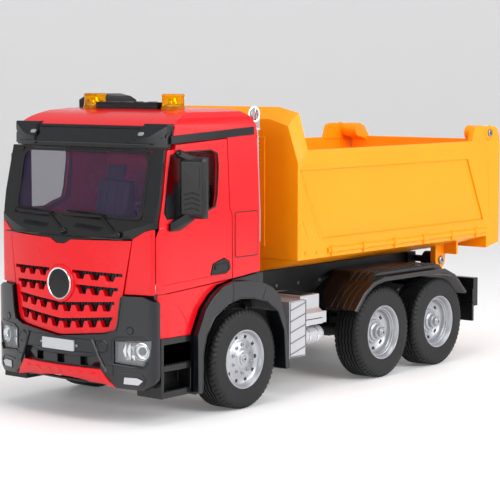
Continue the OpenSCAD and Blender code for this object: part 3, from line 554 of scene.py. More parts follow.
g = Part()
for sgn in (1, -1):
    for z, a, b, tilt in ROWS:
        ring_strip(g, sgn * max(a, 0), sgn * b, lambda y, z=z, t=tilt: z + 1.2 + t * abs(y), lambda y, z=z, t=tilt: z - 6.6 + t * abs(y), 85.6, 1.0, 10)
        # slanted fins behind each opening
        k = 0
        y = max(a, 0) + 2.2
        while y < b - 1:
            zt = z + tilt * y
            x = arc_x(86.4, y)
            for d in (-1.5, 1.5):
                g.prism([(sgn * (y + d), zt + 0.4), (sgn * (y + d + 0.5), zt + 0.4), (sgn * (y + 0.5), zt - 4.9), (sgn * y, zt - 4.9)], "x", x - 1.4, x - 0.1)
            y += 4.4
            k += 1
piece("grille_mesh", g, "chassis", "black_plastic", bevel=0.12, segments=1)

# emblem: a plain dark disc in a light ring, on a raised red ring
e = Part()
EC = (0, 0, 82.2)
e.lathe([(9.2, 88.6), (11.6, 88.6), (11.6, 89.9), (11.2, 90.5), (10.4, 90.7), (9.8, 90.6), (9.2, 90.2)], EC, (1, 0, 0), 72, 0)
piece("emblem_seat", e, "chassis", "red_plastic", smooth=40)
e = Part()
e.lathe([(8.8, 90.2), (8.9, 90.9), (9.3, 91.2), (9.7, 91.2), (9.95, 90.8), (9.95, 90.0), (8.8, 90.0)], EC, (1, 0, 0), 72, 1)
e.lathe([(0, 90.7), (6, 90.65), (8.9, 90.45), (8.9, 89.0), (0, 89.0)], EC, (1, 0, 0), 72, 0)
piece("emblem_disc", e, "chassis", "black_plastic", [M["black_plastic"], M["chrome_trim"]], smooth=40)

# ---------------------------------------------------------------- bumper details
BF = 92.2


def on_bumper(part, loops, front, depth, mat=0):
    part.sheet(loops, lambda u, v, w: (arc_x(front, u) + w, u, v), depth, mat)


b = Part()
for s in (1, -1):
    # fog lamp covers: raised ring and cap
    for cy, cz, r in ((34.1, 46.4, 4.2), (52.4, 57, 2.6)):
        x = arc_x(BF, cy)
        nrm = Vector((math.sqrt(170 * 170 - cy * cy), s * cy, 0)).normalized()
        c = Vector((x, s * cy, cz)) - nrm * 0.35
        b.lathe([(0, 0.75), (r * 0.72, 0.7), (r * 0.8, 0.45), (r * 0.9, 0.75), (r, 0.6), (r, -0.2), (0, -0.2)], c, nrm, 28)
    # guard beside the recess
    pts = [(arc_x(BF + 0.3, y), s * y, z) for y, z in ((27.2, 50.2), (28.6, 47.8), (30.2, 44), (32.2, 39.8), (34.6, 35.6), (37, 31.4))]
    b.tube(pts, 0.85, 8)
    pts = [(arc_x(BF + 0.25, y), s * y, z) for y, z in ((43.2, 56), (44.6, 60.5), (45.6, 68), (46.9, 76.8))]
    b.tube(pts, 0.5, 8)
    # rounded square pad in the corner
    on_bumper(b, [rounded(s * 36.5 if s > 0 else s * 41.5, s * 41.5 if s > 0 else s * 36.5, 29, 35.6, 1.2)], BF - 0.1, 0.55)
    # raised frames round the headlamp and the small lamp under it
    for loop, rr in (([(41.2, 36.6), (50.8, 35.4), (60.4, 34.7), (63.2, 38.4)], 0.55), ([(44.6, 30.9), (52, 31.4), (59.4, 31.2), (62.3, 28.2), (60.4, 24.0)], 0.45), ([(40.2, 38.2), (40.4, 50.6), (44, 52.6), (54, 53.2), (61, 53.6)], 0.45)):
        b.tube([(arc_x(BF + 0.1, y), s * y, z) for y, z in loop], rr, 8)
# long fold over the recess and over the mouth
fold = [(arc_x(BF - 0.2, y), y, 50.2 - 0.2 - abs(y) * 0.02) for y in range(-33, 34, 3)]
b.tube(fold, 0.55, 8)
fold = [(arc_x(BF - 0.1, y), y, 41.9) for y in range(-32, 33, 4)]
b.tube(fold, 0.4, 8)
piece("bumper_trim", b, "chassis", "dark_grey_plastic", bevel=0.12, segments=1, smooth=40)
# black lining of the mouth
b = Part()
on_bumper(b, [[(-31.5, 33.2), (31.5, 33.2), (31.5, 41.0), (-31.5, 41.0)]] + [list(reversed(rounded(y - 3.4, y + 3.4, 33.9, 38.9, 0.8))) for y in (-19, 0, 19)], BF - 3.0, 0.75)
piece("mouth_frame", b, "chassis", "dark_grey_plastic", bevel=0.15, segments=1)
b = Part()
ring_strip(b, -31, 31, lambda y: 41.3, lambda y: 33, 86.6, 0.6, 16)
piece("mouth_back", b, "chassis", "black_plastic")

# number plate, blank
pl = Part()
pl.sheet([rounded(-13.6, 13.6, 41.9, 48.6, 0.6)], lambda u, v, w: (91.5 + w, u, v), 1.05)
piece("number_plate", pl, "chassis", "silver_plastic", [PLATE], bevel=0.1, segments=1)
pl = Part()
for y in (-15.2, 15.2):
    screw(pl, (arc_x(92.1, y), y, 45.4), (1, 0, 0), 0.8, 0.4)
piece("plate_screws", pl, "chassis", "steel_pin", smooth=40)

# headlamps
LAMP = [(42.3, 37.3), (51, 36.5), (59.8, 35.8), (64.1, 42.1), (65.1, 51.7), (54, 51.0), (42.3, 50.2)]


def inset(poly, d):
    cx = sum(p[0] for p in poly) / len(poly)
    cy = sum(p[1] for p in poly) / len(poly)
    out = []
    for x, y in poly:
        l = math.hypot(x - cx, y - cy)
        out.append((cx + (x - cx) * (l - d) / l, cy + (y - cy) * (l - d) / l))
    return out


for s, side in ((1, "left"), (-1, "right")):
    lens = Part()
    lens.sheet([LAMP], lambda u, v, w: (arc_x(91.3, u) - 0.6 + w, u, v), 0.6)
    shell = Part()
    shell.sheet([LAMP, list(reversed(inset(LAMP, 1.3)))], lambda u, v, w: (arc_x(90.9, u) - 4.0 + w, u, v), 4.0)
    shell.sheet([inset(LAMP, 0.6)], lambda u, v, w: (arc_x(90.9, u) - 4.6 + w, u, v), 0.7)
    refl = Part()
    # silver facets
    for i, (y0, y1, z0, z1) in enumerate(((44.0, 46.6, 39.0, 49.0), (46.8, 49.4, 38.4, 49.2), (49.6, 52.2, 38.2, 44.0), (49.6, 52.2, 44.2, 49.4))):
        x = arc_x(90.9, (y0 + y1) / 2) - 3.8
        refl.add([(x, y0, z0), (x, y1, z0), (x, y1, z1), (x, y0, z1), (x + 1.7, (y0 + y1) / 2, (z0 + z1) / 2)], [(0, 1, 4), (1, 2, 4), (2, 3, 4), (3, 0, 4), (3, 2, 1, 0)])
    x = arc_x(90.9, 57.2) - 4.0
    refl.lathe([(5.2, 3.4), (4.9, 3.5), (4.2, 1.6), (3.0, 0.7), (0, 0.7), (0, 0), (5.2, 0)], (x, 57.2, 44.6), (1, 0.32, 0), 36)
    refl.lathe([(0, 2.9), (1.5, 2.6), (2.5, 1.7), (2.8, 0.6), (0, 0.6)], (x, 57.2, 44.6), (1, 0.32, 0), 32, 1)
    refl.lathe([(2.75, 1.9), (3.2, 1.9), (3.2, 0.6), (2.75, 0.6)], (x, 57.2, 44.6), (1, 0.32, 0), 32, 0)
    # clear lower strip with fine flutes
    for k in range(9):
        y = 43.8 + k * 0.62
        refl.prism([(y, 38.6), (y + 0.3, 38.6), (y + 0.3, 40.6), (y, 40.6)], "x", arc_x(90.9, y) - 3.5, arc_x(90.9, y) - 2.6)
    low = Part()
    lowb = Part()
    poly = [(47.5, 24.6), (58.5, 24.0), (61.5, 27.4), (57.5, 29.6), (48, 29.2)]
    lowb.sheet([poly], lambda u, v, w: (arc_x(BF, u) - 0.2 + w, u, v), 0.45)
    low.sheet([inset(poly, 1.0)], lambda u, v, w: (arc_x(BF, u) + 0.2 + w, u, v), 0.35)
    for part in (lens, shell, refl, low, lowb):
        if s < 0:
            part.flip_y()
    o = piece(f"headlamp_lens_{side}", lens, "chassis", "lamp_clear", bevel=0.12, segments=1)
    if s > 0:
        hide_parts("headlamps")
    piece(f"headlamp_case_{side}", shell, "chassis", "black_plastic", bevel=0.15, segments=1)
    piece(f"headlamp_reflector_{side}", refl, "chassis", "chrome_trim", [M["chrome_trim"], M["black_plastic"]])
    piece(f"lower_lamp_case_{side}", lowb, "chassis", "black_plastic", bevel=0.1, segments=1)
    piece(f"lower_lamp_{side}", low, "chassis", "silver_plastic", bevel=0.12, segments=1)

# skid plate: facets and teeth under the upper edge
sk = Part()


def skid_x(z, y, off=0.0):
    """Front face of the plate, which leans back towards its lower edge."""
    return min(86.6 + (z - 24) * 0.875, arc_x(92.4, y)) + off


for k in range(-3, 4):
    y = k * 9.0
    up = 31.0
    sk.add([(skid_x(up, y, -0.3), y - 3.7, up), (skid_x(up, y, -0.3), y + 3.7, up), (skid_x(25.2, y, -0.3), y, 25.2), (skid_x(29.4, y, 0.75), y, 29.4)], [(0, 1, 3), (1, 2, 3), (2, 0, 3), (2, 1, 0)])
piece("skid_facets", sk, "chassis", "red_plastic")
sk = Part()
sk.tube([(arc_x(92.2, y) - 7.4, y, 23.2 - (abs(y) > 31) * (abs(y) - 31) * 0.14) for y in range(-38, 39, 4)], 1.0, 8)
piece("skid_lip", sk, "chassis", "black_plastic", smooth=50)

# ---------------------------------------------------------------- cowl, wipers, windscreen rim
def ws(y, z, off):
    x = 75.3 - (z - 121.7) * 8.7 / 42.2
    return (x + off * 0.979, y, z + off * 0.202)


def cowl(y, t, off):
    """t runs from 0 at the glass to 1 at the front edge of the ledge."""
    return (75.2 + 13.2 * t + off * 0.68, y, 122.5 - 12.3 * t + off * 0.73)


w = Part()
for y0 in (-23.6, 21.5):
    # arm over the cowl, then the blade along the foot of the glass
    w.tube([cowl(y0 + 22, 0.72, 0.5), cowl(y0 + 13, 0.42, 0.9), cowl(y0 + 2, 0.06, 1.3)], 1.05, 8, squash=0.6)
    w.lathe([(0, 1.7), (1.6, 1.6), (2.1, 1.0), (2.1, -0.6), (0, -0.6)], cowl(y0 + 22, 0.72, 0.2), (0.68, 0, 0.73), 20)
    w.tube([ws(y0 + 3, 123.6, 0.9), ws(y0 - 9, 124.4, 0.9), ws(y0 - 29, 125.2, 0.8)], 0.75, 8, squash=0.8)
    w.tube([ws(y0 + 2, 123.4, 1.5), ws(y0 - 10, 124.8, 1.8), ws(y0 - 22, 125.3, 1.3)], 0.45, 6)
piece("wipers", w, "chassis", "black_plastic", smooth=45)
w = Part()
for y0, y1 in ((-41, -19), (4, 27)):
    # long vents in the ledge
    a = [cowl(y, t, 0.05) for y, t in ((y0, 0.36), (y1, 0.50), (y1, 0.62), (y0, 0.48))]
    for k in range(3):
        t0 = 0.34 + 0.07 * k
        w.tube([cowl(y0, t0, 0.12), cowl((y0 + y1) / 2, t0 + 0.05, 0.2), cowl(y1, t0 + 0.1, 0.12)], 0.4, 6)
w.tube([cowl(y, 0.9, 0.1) for y in range(-50, 51, 5)], 0.45, 6)
piece("cowl_vents", w, "chassis", "dark_grey_plastic", smooth=45)
# heater strip of dots along the foot of the glass, as raised ribs on the dash
w = Part()
for k in range(44):
    y = -52 + k * 2.4
    x, yy, z = ws(y, 123.4, -3.2)
    w.box(x - 4.5, x - 1.0, y - 0.5, y + 0.5, 118.9, 119.7)
piece("dash_ribs", w, "chassis", "interior_grey", bevel=0.15, segments=1)
w = Part()
w.sheet([rounded(-54.7, 54.7, 122.1, 162.9, 4.5), list(reversed(rounded(-52.9, 52.9, 123.9, 161.2, 6.0)))], lambda u, v, q: ws(u, v, q - 0.15), 0.5)
piece("windscreen_seal", w, "chassis", "black_plastic", bevel=0.15, segments=1)

# ---------------------------------------------------------------- visor details
NV = Vector((11.1, 0, 7)).normalized()


def visor(y, z, off=0.0):
    x = 69.0 - (z - 166.5) * 7 / 11.1
    return (x + NV.x * off, y, z + NV.z * off)


v = Part()
for y, z in ((-28.4, 168.6), (4.2, 168.4), (36.2, 168.2), (-46, 169)):
    v.lathe([(0, 0.35), (0.7, 0.3), (1.0, 0.0), (1.0, -0.4), (0, -0.4)], visor(y, z), NV, 14)
for s in (1, -1):
    for y, z in ((50.5, 176.0), (61.0, 172.0)):
        v.lathe([(0, 0.45), (0.8, 0.4), (1.15, 0.0), (1.15, -0.6), (0, -0.6)], visor(s * y, z, 0.5 if y < 55 else -1.2), NV, 14)
piece("visor_studs", v, "chassis", "black_plastic")
v = Part()
for s in (1, -1):
    v.sheet([rounded(43.0, 49.5, 170.6, 174.0, 1.1)], lambda a, c, q: visor(s * a, c, 0.9 + q), 0.55)
piece("visor_lamps_case", v, "chassis", "black_plastic", bevel=0.15, segments=1)
v = Part()
for s in (1, -1):
    v.sheet([rounded(44.0, 48.5, 171.3, 173.3, 0.8)], lambda a, c, q: visor(s * a, c, 1.4 + q), 0.3)
piece("visor_lamps", v, "chassis", "lamp_clear", [M["chrome_trim"]], bevel=0.1, segments=1)
v = Part()
v.tube([visor(y, 166.9, 0.35) for y in range(-56, 57, 8)], 0.5, 6)
v.tube([visor(y, 176.2, 0.25) for y in range(-42, 43, 6)], 0.4, 6)
piece("visor_lip", v, "chassis", "dark_grey_plastic")

# ---------------------------------------------------------------- beacons, light bar
for s, side in ((1, "left"), (-1, "right")):
    bc = Part()
    n = 60
    rings = []
    for r, z in ((7.0, 188.7), (7.0, 189.0), (6.85, 194.7), (7.2, 195.1), (7.2, 196.0), (6.8, 196.45), (0.01, 196.55)):
        rings.append([(24 + (r - (0.16 if k % 4 >= 2 and r > 6.4 else 0)) * math.cos(2 * math.pi * k / n), s * 33.7 + (r - (0.16 if k % 4 >= 2 and r > 6.4 else 0)) * math.sin(2 * math.pi * k / n), z) for k in range(n)])
    bc.loft(rings, caps=True)
    o = piece(f"beacon_lens_{side}", bc, "chassis", "amber_lens", smooth=50)
    inner = Part()
    inner.lathe([(0, 194.4), (2.2, 194.2), (2.6, 193.0), (2.6, 190.6), (4.4, 189.6), (4.4, 188.9), (0, 188.9)], (24, s * 33.7, 0), (0, 0, 1), 24)
    piece(f"beacon_bulb_{side}", inner, "chassis", "chrome_trim")
    if s > 0:
        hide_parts("beacons")
    base = Part()
    base.lathe([(6.9, 188.8), (7.5, 188.6), (7.6, 186.4), (7.8, 185.9), (7.8, 184.2), (7.35, 184.2), (7.35, 188.3), (6.9, 188.3)], (24, s * 33.7, 0), (0, 0, 1), 48)
    piece(f"beacon_collar_{side}", base, "chassis", "amber_lens")
lb = Part()
for z in (185.6, 187.9, 190.2):
    lb.tube([(30.55, y, z) for y in range(-26, 27, 13)], 0.35, 6)
for y in (-18, -6, 6, 18):
    lb.box(21.5, 29.5, y - 0.4, y + 0.4, 191.0, 191.6)
piece("light_bar_ribs", lb, "chassis", "dark_grey_plastic", smooth=40)

# ---------------------------------------------------------------- cab sides
HANDLE = [(22, 86.2), (27.7, 86.8), (25.8, 92.6), (24.6, 93.3), (16, 95.6), (14.6, 95.4), (10.4, 93.3), (9.6, 89.1), (10.6, 87.9), (13.3, 86.8)]
def side_y(z):
    return 67.5 if z < 121 else 67.5 - (z - 121) * 0.043


CORNER = [(-60, 67.6), (58.5, 67.6), (65, 67.35), (70, 66.6), (74.6, 65.2), (79, 62.4)]


def skin(x, z):
    """Outer face of the cab, rounded at the front corner."""
    c = 67.6
    for (xa, ya), (xb, yb) in zip(CORNER, CORNER[1:]):
        if xa <= x <= xb:
            c = ya + (yb - ya) * (x - xa) / (xb - xa)
    return min(side_y(z), c)


for s, side, body in ((1, "left", "door_l"), (-1, "right", "door_r")):
    # fixed panel behind the door: raised field with rounded corners
    c = Part()
    c.sheet([rounded(-17, 4.4, 96, 123, 1.6)], lambda u, v, q: (u, s * (side_y(v) - 0.05 + q), v), 0.4)
    piece(f"side_field_{side}", c, "chassis", "red_plastic", bevel=0.25)
    c = Part()
    c.sheet([rounded(-17.8, 5.2, 95.2, 123.8, 2.0), list(reversed(rounded(-17.2, 4.6, 95.8, 123.2, 1.7)))], lambda u, v, q: (u, s * (side_y(v) - 0.05 + q), v), 0.09)
    piece(f"side_field_seam_{side}", c, "chassis", "red_plastic", [GAP])
    # silver ribbed strip on the rear edge, as painted highlight along the cab's rear edge
    c = Part()
    for k in range(46):
        z = 104 + k * 1.55
        if z > 168:
            break
        c.box(-20.4, -19.2, s * (side_y(z) - 1.6), s * (side_y(z) + 0.08), z, z + 0.8)
    piece(f"edge_highlight_strip_{side}", c, "chassis", "silver_plastic", bevel=0.1, segments=1)
    # crease along the foot of the door and the sweep of the rocker
    c = Part()
    for line in (((73.6, 83.4), (70, 83.6), (65, 83.9), (60, 84.2), (40, 85.2), (30, 85.7), (28.6, 85.8)), ((72.4, 117.6), (70, 118), (66, 118.8), (58, 118.4), (50, 116.2), (44, 114.6))):
        c.tube([(x, s * (skin(x, z) - 0.05), z) for x, z in line], 0.38, 8)
    piece(f"door_crease_{side}", c, body, "red_plastic")
    c = Part()
    c.tube([(x, s * (skin(x, z) - 0.05), z) for x, z in ((73.0, 76.6), (70, 75.6), (66, 74.0), (57, 69.6), (51, 62), (48.6, 54))], 0.42, 8)
    piece(f"rocker_crease_{side}", c, "chassis", "red_plastic")
    # rubber round the door window
    win = [(62.4, 160.8), (55.5, 162.4), (25, 162.8), (19, 160.5), (18.5, 153), (20.5, 135), (22.5, 128), (30.5, 125.8), (38, 122.8), (67, 123), (69, 127), (67.6, 138), (64.6, 152.4)]
    c = Part()
    loop = win + [win[0]]
    c.tube([(x, s * (skin(x, z) - 0.5), z) for x, z in loop], 0.6, 8)
    # blanked front corner of the window
    c.sheet([[(58.6, 123.6), (66.6, 123.8), (67.6, 127.4), (66.4, 137.4), (63.2, 138.6), (61.0, 136.2), (59.2, 130)]], lambda u, v, q: (u, s * (skin(u, v) - 1.1 + q), v), 0.6)
    piece(f"window_seal_{side}", c, body, "black_plastic", smooth=50)
    # door handle: grip bar in its well
    c = Part()
    c.sheet([HANDLE, list(reversed(inset(HANDLE, 1.5)))], lambda u, v, q: (u, s * (67.1 + q), v), 0.8)
    c.sheet([rounded(13.6, 24.4, 89.2, 92.6, 1.4)], lambda u, v, q: (u, s * (67.3 + q), v), 1.0)
    piece(f"handle_frame_{side}", c, body, "black_plastic", bevel=0.2)
    # mirror: glass, vents and knob
    c = Part()
    c.sheet([rounded(70.1 if s > 0 else -80.4, 80.4 if s > 0 else -70.1, 125.3, 157.2, 1.8)], lambda u, v, q: (47.7 + q, u, v), 0.6)
    piece(f"mirror_glass_{side}", c, body, "chrome_trim", [MIRROR], bevel=0.12, segments=1)
    c = Part()

    def house(t, z, off=0.0):
        """The mirror housing's front face, turned outwards."""
        return (57.5 - 5 * t + 0.923 * off, s * (70.2 + 12 * t + 0.385 * off), z)

    for k in range(4):
        z = 127.8 + k * 3.0
        c.tube([house(0.14, z + 0.4, 0.05), house(0.5, z + 1.9, 0.05), house(0.86, z + 0.4, 0.05)], 0.42, 6)
    c.sheet([rounded(0.12, 0.88, 141.0, 154.8, 0.1)], lambda u, v, q: house(u, v, -0.15 + q), 0.5)
    c.lathe([(0, 1.3), (1.4, 1.0), (1.8, 0.2), (1.8, -1.4), (0, -1.4)], (56.5, s * 67.6, 162.4), (0.8, s * 0.5, 0.3), 16)
    c.lathe([(0, 1.0), (1.3, 0.8), (1.6, 0.0), (1.6, -1.4), (0, -1.4)], (62.4, s * 68.6, 118.4), (0.5, s * 0.85, 0), 16)
    piece(f"mirror_vents_{side}", c, body, "black_plastic", smooth=50)

# ---------------------------------------------------------------- arches and step
for s, side in ((1, "left"), (-1, "right")):
    a = Part()
    a.tube([(13, s * 73.0, 81.0), (12.2, s * 73.05, 75.5), (13.2, s * 73.0, 69.6)], 0.22, 6)
    a.tube([(-20.4, s * 73.0, 76.6), (-17.4, s * 73.05, 70.8), (-15.8, s * 73.0, 67.8)], 0.22, 6)
    inner = [(-39.9, 22.3), (-38.3, 45.9), (-31.8, 59.0), (-20.7, 66.3), (-7.5, 69.5), (5.4, 70.6), (17.6, 68.3), (30.5, 61.4), (38.2, 51.2), (41.2, 39.2), (41.7, 17.5)]
    a.tube([(x, s * 72.7, z) for x, z in inner], 0.55, 8)
    piece(f"arch_lip_{side}", a, "chassis", "dark_grey_plastic", smooth=50)
    a = Part()
    for z in (20.2, 36.2):
        for k in range(8):
            x = 49.2 + k * 2.8
            a.box(x, x + 1.3, s * 59.5, s * 68.6, z - 0.1, z + 0.5)
    piece(f"step_treads_{side}", a, "chassis", "black_plastic", bevel=0.15, segments=1)

# ---------------------------------------------------------------- locker, tank
a = Part()
for k in range(5):
    z = 28.4 + k * 7.2
    a.tube([(-67.2, 66.9, z + 2.8), (-52.2, 66.9, z - 1.0)], 0.55, 8)
piece("locker_treads", a, "chassis", "dark_grey_plastic", [GREY_MARK], smooth=50)
a = Part()
a.tube([(-51.4, 66.9, 25.6), (-51.4, 66.9, 61.4), (-67.8, 66.9, 61.4), (-67.8, 66.9, 25.6), (-51.4, 66.9, 25.6)], 0.4, 6)
a.tube([(-86.9, 66.0, 48), (-69.0, 66.0, 48)], 0.3, 6)
a.box(-84, -72, 40, 60, 63.5, 64.3)
piece("locker_ribs", a, "chassis", "dark_grey_plastic", smooth=50)
a = Part()
for x in (-74.5, -83.5):
    a.lathe([(6.1, x - 0.8), (6.55, x - 0.6), (6.55, x + 0.6), (6.1, x + 0.8)], (0, 59.4, 36.4), (1, 0, 0), 36)
a.tube([(-79, 59.4, 42.4), (-79, 59.4, 44.2)], 1.4, 12)
piece("tank_bands", a, "chassis", "chrome_trim")
a = Part()
for x in (-98, -62):
    a.tube([(x, -67.3, z) for z in (24, 34, 46, 58)], 0.9, 8)
a.tube([(-106.5, -67.1, 28), (-53.5, -67.1, 28)], 0.35, 6)
a.tube([(-106.5, -67.1, 54), (-53.5, -67.1, 54)], 0.35, 6)
a.lathe([(0, 1.6), (3.0, 1.5), (3.6, 0.9), (3.6, -0.4), (0, -0.4)], (-80, -50, 58.2), (0, 0, 1), 28)
piece("fuel_tank_bands", a, "chassis", "black_plastic", smooth=50)

# ---------------------------------------------------------------- bed
a = Part()
for s in (1, -1):
    n = 9
    half = [(1.7 * math.cos(t), 1.9 * math.sin(t)) for t in [math.pi * (k / (n - 1) - 0.5) for k in range(n)]]
    a.loft([[(x, s * (69.4 + u), 92.9 + v) for u, v in half] for x in (-284.0, -87.6)])
    for x in (-92.8, -128.9, -165.6, -201.5, -237.8, -270.2):
        a.loft([[(xx, s * (69.4 + g * 1.5 * u), 92.9 + g * 1.45 * v) for u, v in half] for xx, g in ((x - 2.6, 0.9), (x - 2.0, 1.0), (x + 2.0, 1.0), (x + 2.6, 0.9))])
        a.prism([(x - 1.5, s * 69.3), (x + 1.5, s * 69.3), (x + 1.5, s * 70.6), (x - 1.5, s * 70.6)], "z", 88.9, 92.9)
    for x in (-64.6, -76.4):
        a.lathe([(0, 0.8), (1.1, 0.7), (1.5, 0.2), (1.5, -0.4), (0, -0.4)], (x, s * 69.5, 92.7), (0, s, 0), 16)
piece("bed_side_ridge", a, "bed", "orange_plastic", bevel=0.2, smooth=40)
# raised borders round the recessed side fields, and the corner posts
a = Part()
for s in (1, -1):
    a.tube([(-62.3, s * 69.35, 137.3), (-79.6, s * 69.35, 101.6)], 0.45, 8)
    a.tube([(-61.4, s * 69.35, 113.3), (-67.8, s * 69.35, 101.2)], 0.4, 8)
    a.tube([(-285.5, s * 69.35, 145), (-288, s * 69.35, 101.6)], 0.45, 8)
    a.tube([(-58.5, s * 69.3, 147.0), (-258, s * 69.3, 147.0)], 0.5, 8)
    a.tube([(-82, s * 69.3, 100.8), (-281, s * 69.3, 100.8)], 0.5, 8)
    a.tube([(-258, s * 69.3, 146.8), (-280.2, s * 69.3, 101)], 0.5, 8)
    a.tube([(-59.2, s * 69.3, 146.8), (-82.8, s * 69.3, 101)], 0.4, 8)
piece("bed_side_beads", a, "bed", "orange_plastic", smooth=50)
# stiffeners inside the walls
a = Part()
for s in (1, -1):
    for x in (-110, -165, -220, -272):
        a.prism([(x - 2, s * 66.1), (x + 2, s * 66.1), (x + 1.2, s * 65.3), (x - 1.2, s * 65.3)], "z", 95, 156)
piece("bed_inner_ribs", a, "bed", "orange_plastic", bevel=0.2)
# pivot screws and hinge screws
a = Part()
for s in (1, -1):
    screw(a, (-254, s * 49.4, 71.6), (0, s, 0), 3.1, 1.3, 0, 1)
piece("pivot_screws", a, "chassis", "steel_pin", [M["steel_pin"], M["black_chassis"]], smooth=40)
a = Part()
for s in (1, -1):
    screw(a, (-288, s * 69.0, 165), (0, s, 0), 2.6, 1.1, 0, 1)
piece("hinge_screws", a, "bed", "steel_pin", [M["steel_pin"], M["black_chassis"]], smooth=40)
a = Part()
for s in (1, -1):
    a.lathe([(3.2, 69.05), (5.9, 69.05), (5.6, 69.5), (3.6, 69.5)], (-288, 0, 165), (0, s, 0), 36)
piece("hinge_rings", a, "bed", "orange_plastic", smooth=40)
# headboard ribs on its front
a = Part()
for y in (-40, -14, 14, 40):
    a.prism([(y - 2, 96), (y + 2, 96), (y + 2, 168), (y - 2, 168)], "x", -56.6, -55.6)
piece("headboard_ribs", a, "bed", "orange_plastic", bevel=0.3)

# ---------------------------------------------------------------- rear mudguards
MUD = [(-116, 49.5), (-126, 60), (-138, 67), (-150, 69), (-187, 68.9), (-225, 68.6), (-238, 63.5), (-253.5, 49.5)]
TOP = [(-117, 50.3), (-126.6, 60.2), (-139.3, 67.2), (-146, 71.7), (-150, 72.5), (-185, 72.5), (-220, 72.5), (-226, 71.4), (-232.5, 66.9), (-238.4, 63.6), (-253.2, 50.0)]
a = Part()
for s in (1, -1):
    for y in (50.5, 55.5, 60.5, 65.5):
        a.tube([(x, s * y, z + 0.05) for x, z in TOP], 0.42, 6)
    a.tube([(x, s * 71.9, z + 0.1) for x, z in MUD], 0.6, 8)
# ribs in the glossy black with its painted highlight
piece("mudguard_ribs", a, "chassis", "black_plastic", [GLOSSY_RIB_PAINTED_SHEEN], smooth=50)

# ---------------------------------------------------------------- tail lamps
for s, side in ((1, "left"), (-1, "right")):
    a = Part()
    for k, (y0, y1) in enumerate(((47, 53), (53.6, 59.4), (60, 66))):
        a.sheet([rounded(s * y0 if s > 0 else -y1, s * y1 if s > 0 else -y0, 39.2, 48.6, 1.4)], lambda u, v, q: (-275.9 - q, u, v), 1.0, k)
    piece(f"tail_lamps_{side}", a, "chassis", "amber_lens", [RED_LAMP, M["amber_lens"], M["lamp_clear"]], bevel=0.2)

# exhaust: perforated shield round the pipe, and a black disc in the slanted open end as painted shade of the bore
a = Part()
for k in range(30):
    z = 90 + k * 2.7
    a.lathe([(2.7, z), (3.05, z + 0.3), (3.05, z + 1.5), (2.7, z + 1.8)], (-24, 59.3, 0), (0, 0, 1), 32)
a.lathe([(3.4, 173.6), (3.85, 173.9), (3.85, 174.8), (3.5, 175.1)], (-24, 59.3, 0), (0, 0, 1), 32)
# black disc inside the open end: painted shade of the bore
a.lathe([(0, 176.2), (2.85, 176.2), (2.85, 175.6), (0, 175.6)], (-24, 59.3, 0), (0, 0, 1), 32, 1)
piece("exhaust_shield", a, "chassis", "silver_plastic", [M["silver_plastic"], M["black_chassis"]], smooth=50)

# seats: stitched channels
a = Part()
for s in (1, -1):
    for y in (24, 29, 37, 42):
        a.tube([(35, s * y, 107.1), (12, s * y, 107.1)], 0.35, 6)
        a.tube([(13.6, s * y, 110), (8.2, s * y, 138.5)], 0.35, 6)
piece("seat_channels", a, "chassis", "interior_grey")

# chassis: bolts along the rails
a = Part()
for s in (1, -1):
    for x in range(-232, -60, 24):
        for z in (50, 66):
            a.lathe([(0, 0.9), (1.1, 0.8), (1.4, 0.4), (1.4, -0.3), (0, -0.3)], (x, s * 26.0, z), (0, s, 0), 6)
piece("frame_bolts", a, "chassis", "steel_pin", [M["steel_pin"]])

# ---------------------------------------------------------------- studio
floor_mat = bpy.data.materials.new("studio_floor")
floor_mat.use_nodes = True
fb = floor_mat.node_tree.nodes["Principled BSDF"]
fb.inputs["Base Color"].default_value = (0.9, 0.9, 0.91, 1)
fb.inputs["Roughness"].default_value = 0.5
fb.inputs["Emission Color"].default_value = (1, 1, 1, 1)
fb.inputs["Emission Strength"].default_value = 0.1
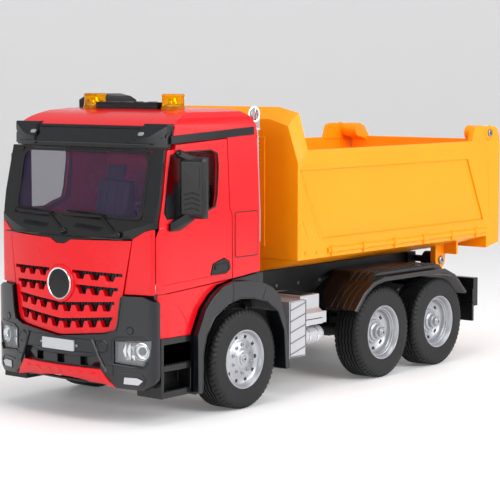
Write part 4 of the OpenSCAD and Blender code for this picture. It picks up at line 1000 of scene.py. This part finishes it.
# floor that curves up into a backdrop on every side
R0, R1 = 1.9, 2.5
rows = [(0.0, 0.0), (0.4, 0.0), (0.9, 0.0), (1.4, 0.0), (R0, 0.0)]
for q in range(1, 9):
    t = math.pi / 2 * q / 8
    rows.append((R0 + 0.6 * math.sin(t), 0.6 * (1 - math.cos(t))))
rows.append((R1, 1.1))
NS = 72
sv, sf = [(0, 0, 0)], []
for r, z in rows[1:]:
    for q in range(NS):
        t = 2 * math.pi * q / NS
        sv.append((r * math.cos(t), r * math.sin(t), z))
for q in range(NS):
    sf.append((0, 1 + q, 1 + (q + 1) % NS))
for i in range(len(rows) - 2):
    for q in range(NS):
        q2 = (q + 1) % NS
        a = 1 + i * NS
        sf.append((a + q, a + NS + q, a + NS + q2, a + q2))
fme = bpy.data.meshes.new("floor")
fme.from_pydata(sv, [], sf)
fme.polygons.foreach_set("use_smooth", [True] * len(fme.polygons))
fme.materials.append(floor_mat)
fo = bpy.data.objects.new("floor", fme)
bpy.context.scene.collection.objects.link(fo)

world = bpy.data.worlds.new("studio")
bpy.context.scene.world = world
world.use_nodes = True
bg = world.node_tree.nodes["Background"]
bg.inputs["Color"].default_value = (1.0, 1.0, 1.0, 1)
bg.inputs["Strength"].default_value = 0.46


def area(name, loc, target, size, power, colour=(1, 1, 1)):
    l = bpy.data.lights.new(name, "AREA")
    l.shape = "RECTANGLE"
    l.size, l.size_y = size
    l.energy = power
    l.color = colour
    o = bpy.data.objects.new(name, l)
    o.location = loc
    d = Vector(target) - Vector(loc)
    o.rotation_mode = "QUATERNION"
    o.rotation_quaternion = d.to_track_quat("-Z", "Y")
    bpy.context.scene.collection.objects.link(o)
    return o


area("key", (0.12, 1.05, 0.8), (0, 0, 0.08), (0.7, 0.5), 7.2)
area("front_fill", (1.25, 0.05, 0.42), (0.15, 0, 0.09), (0.6, 0.5), 4.8)
area("top", (0.0, 0.1, 1.1), (0, 0, 0.1), (0.9, 0.6), 5.0)
area("side_strip", (-0.35, 1.0, 0.35), (-0.05, 0, 0.1), (0.9, 0.25), 3.6)
# plain display of the colours, so that the mouldings keep their own hue
bpy.context.scene.view_settings.view_transform = "Standard"

# ---------------------------------------------------------------- camera
cam = bpy.data.cameras.new("camera")
cam.sensor_width = 36
cam.lens = 126.76
cam.clip_start, cam.clip_end = 0.05, 60
co = bpy.data.objects.new("camera", cam)
bpy.context.scene.collection.objects.link(co)
az, el = math.radians(129.5), math.radians(5.74)
back = Vector((math.sin(az) * math.cos(el), -math.cos(az) * math.cos(el), math.sin(el)))
co.location = P(836.8, 765.4, 209.3)
co.rotation_mode = "QUATERNION"
co.rotation_quaternion = (-back).to_track_quat("-Z", "Y")
bpy.context.scene.camera = co
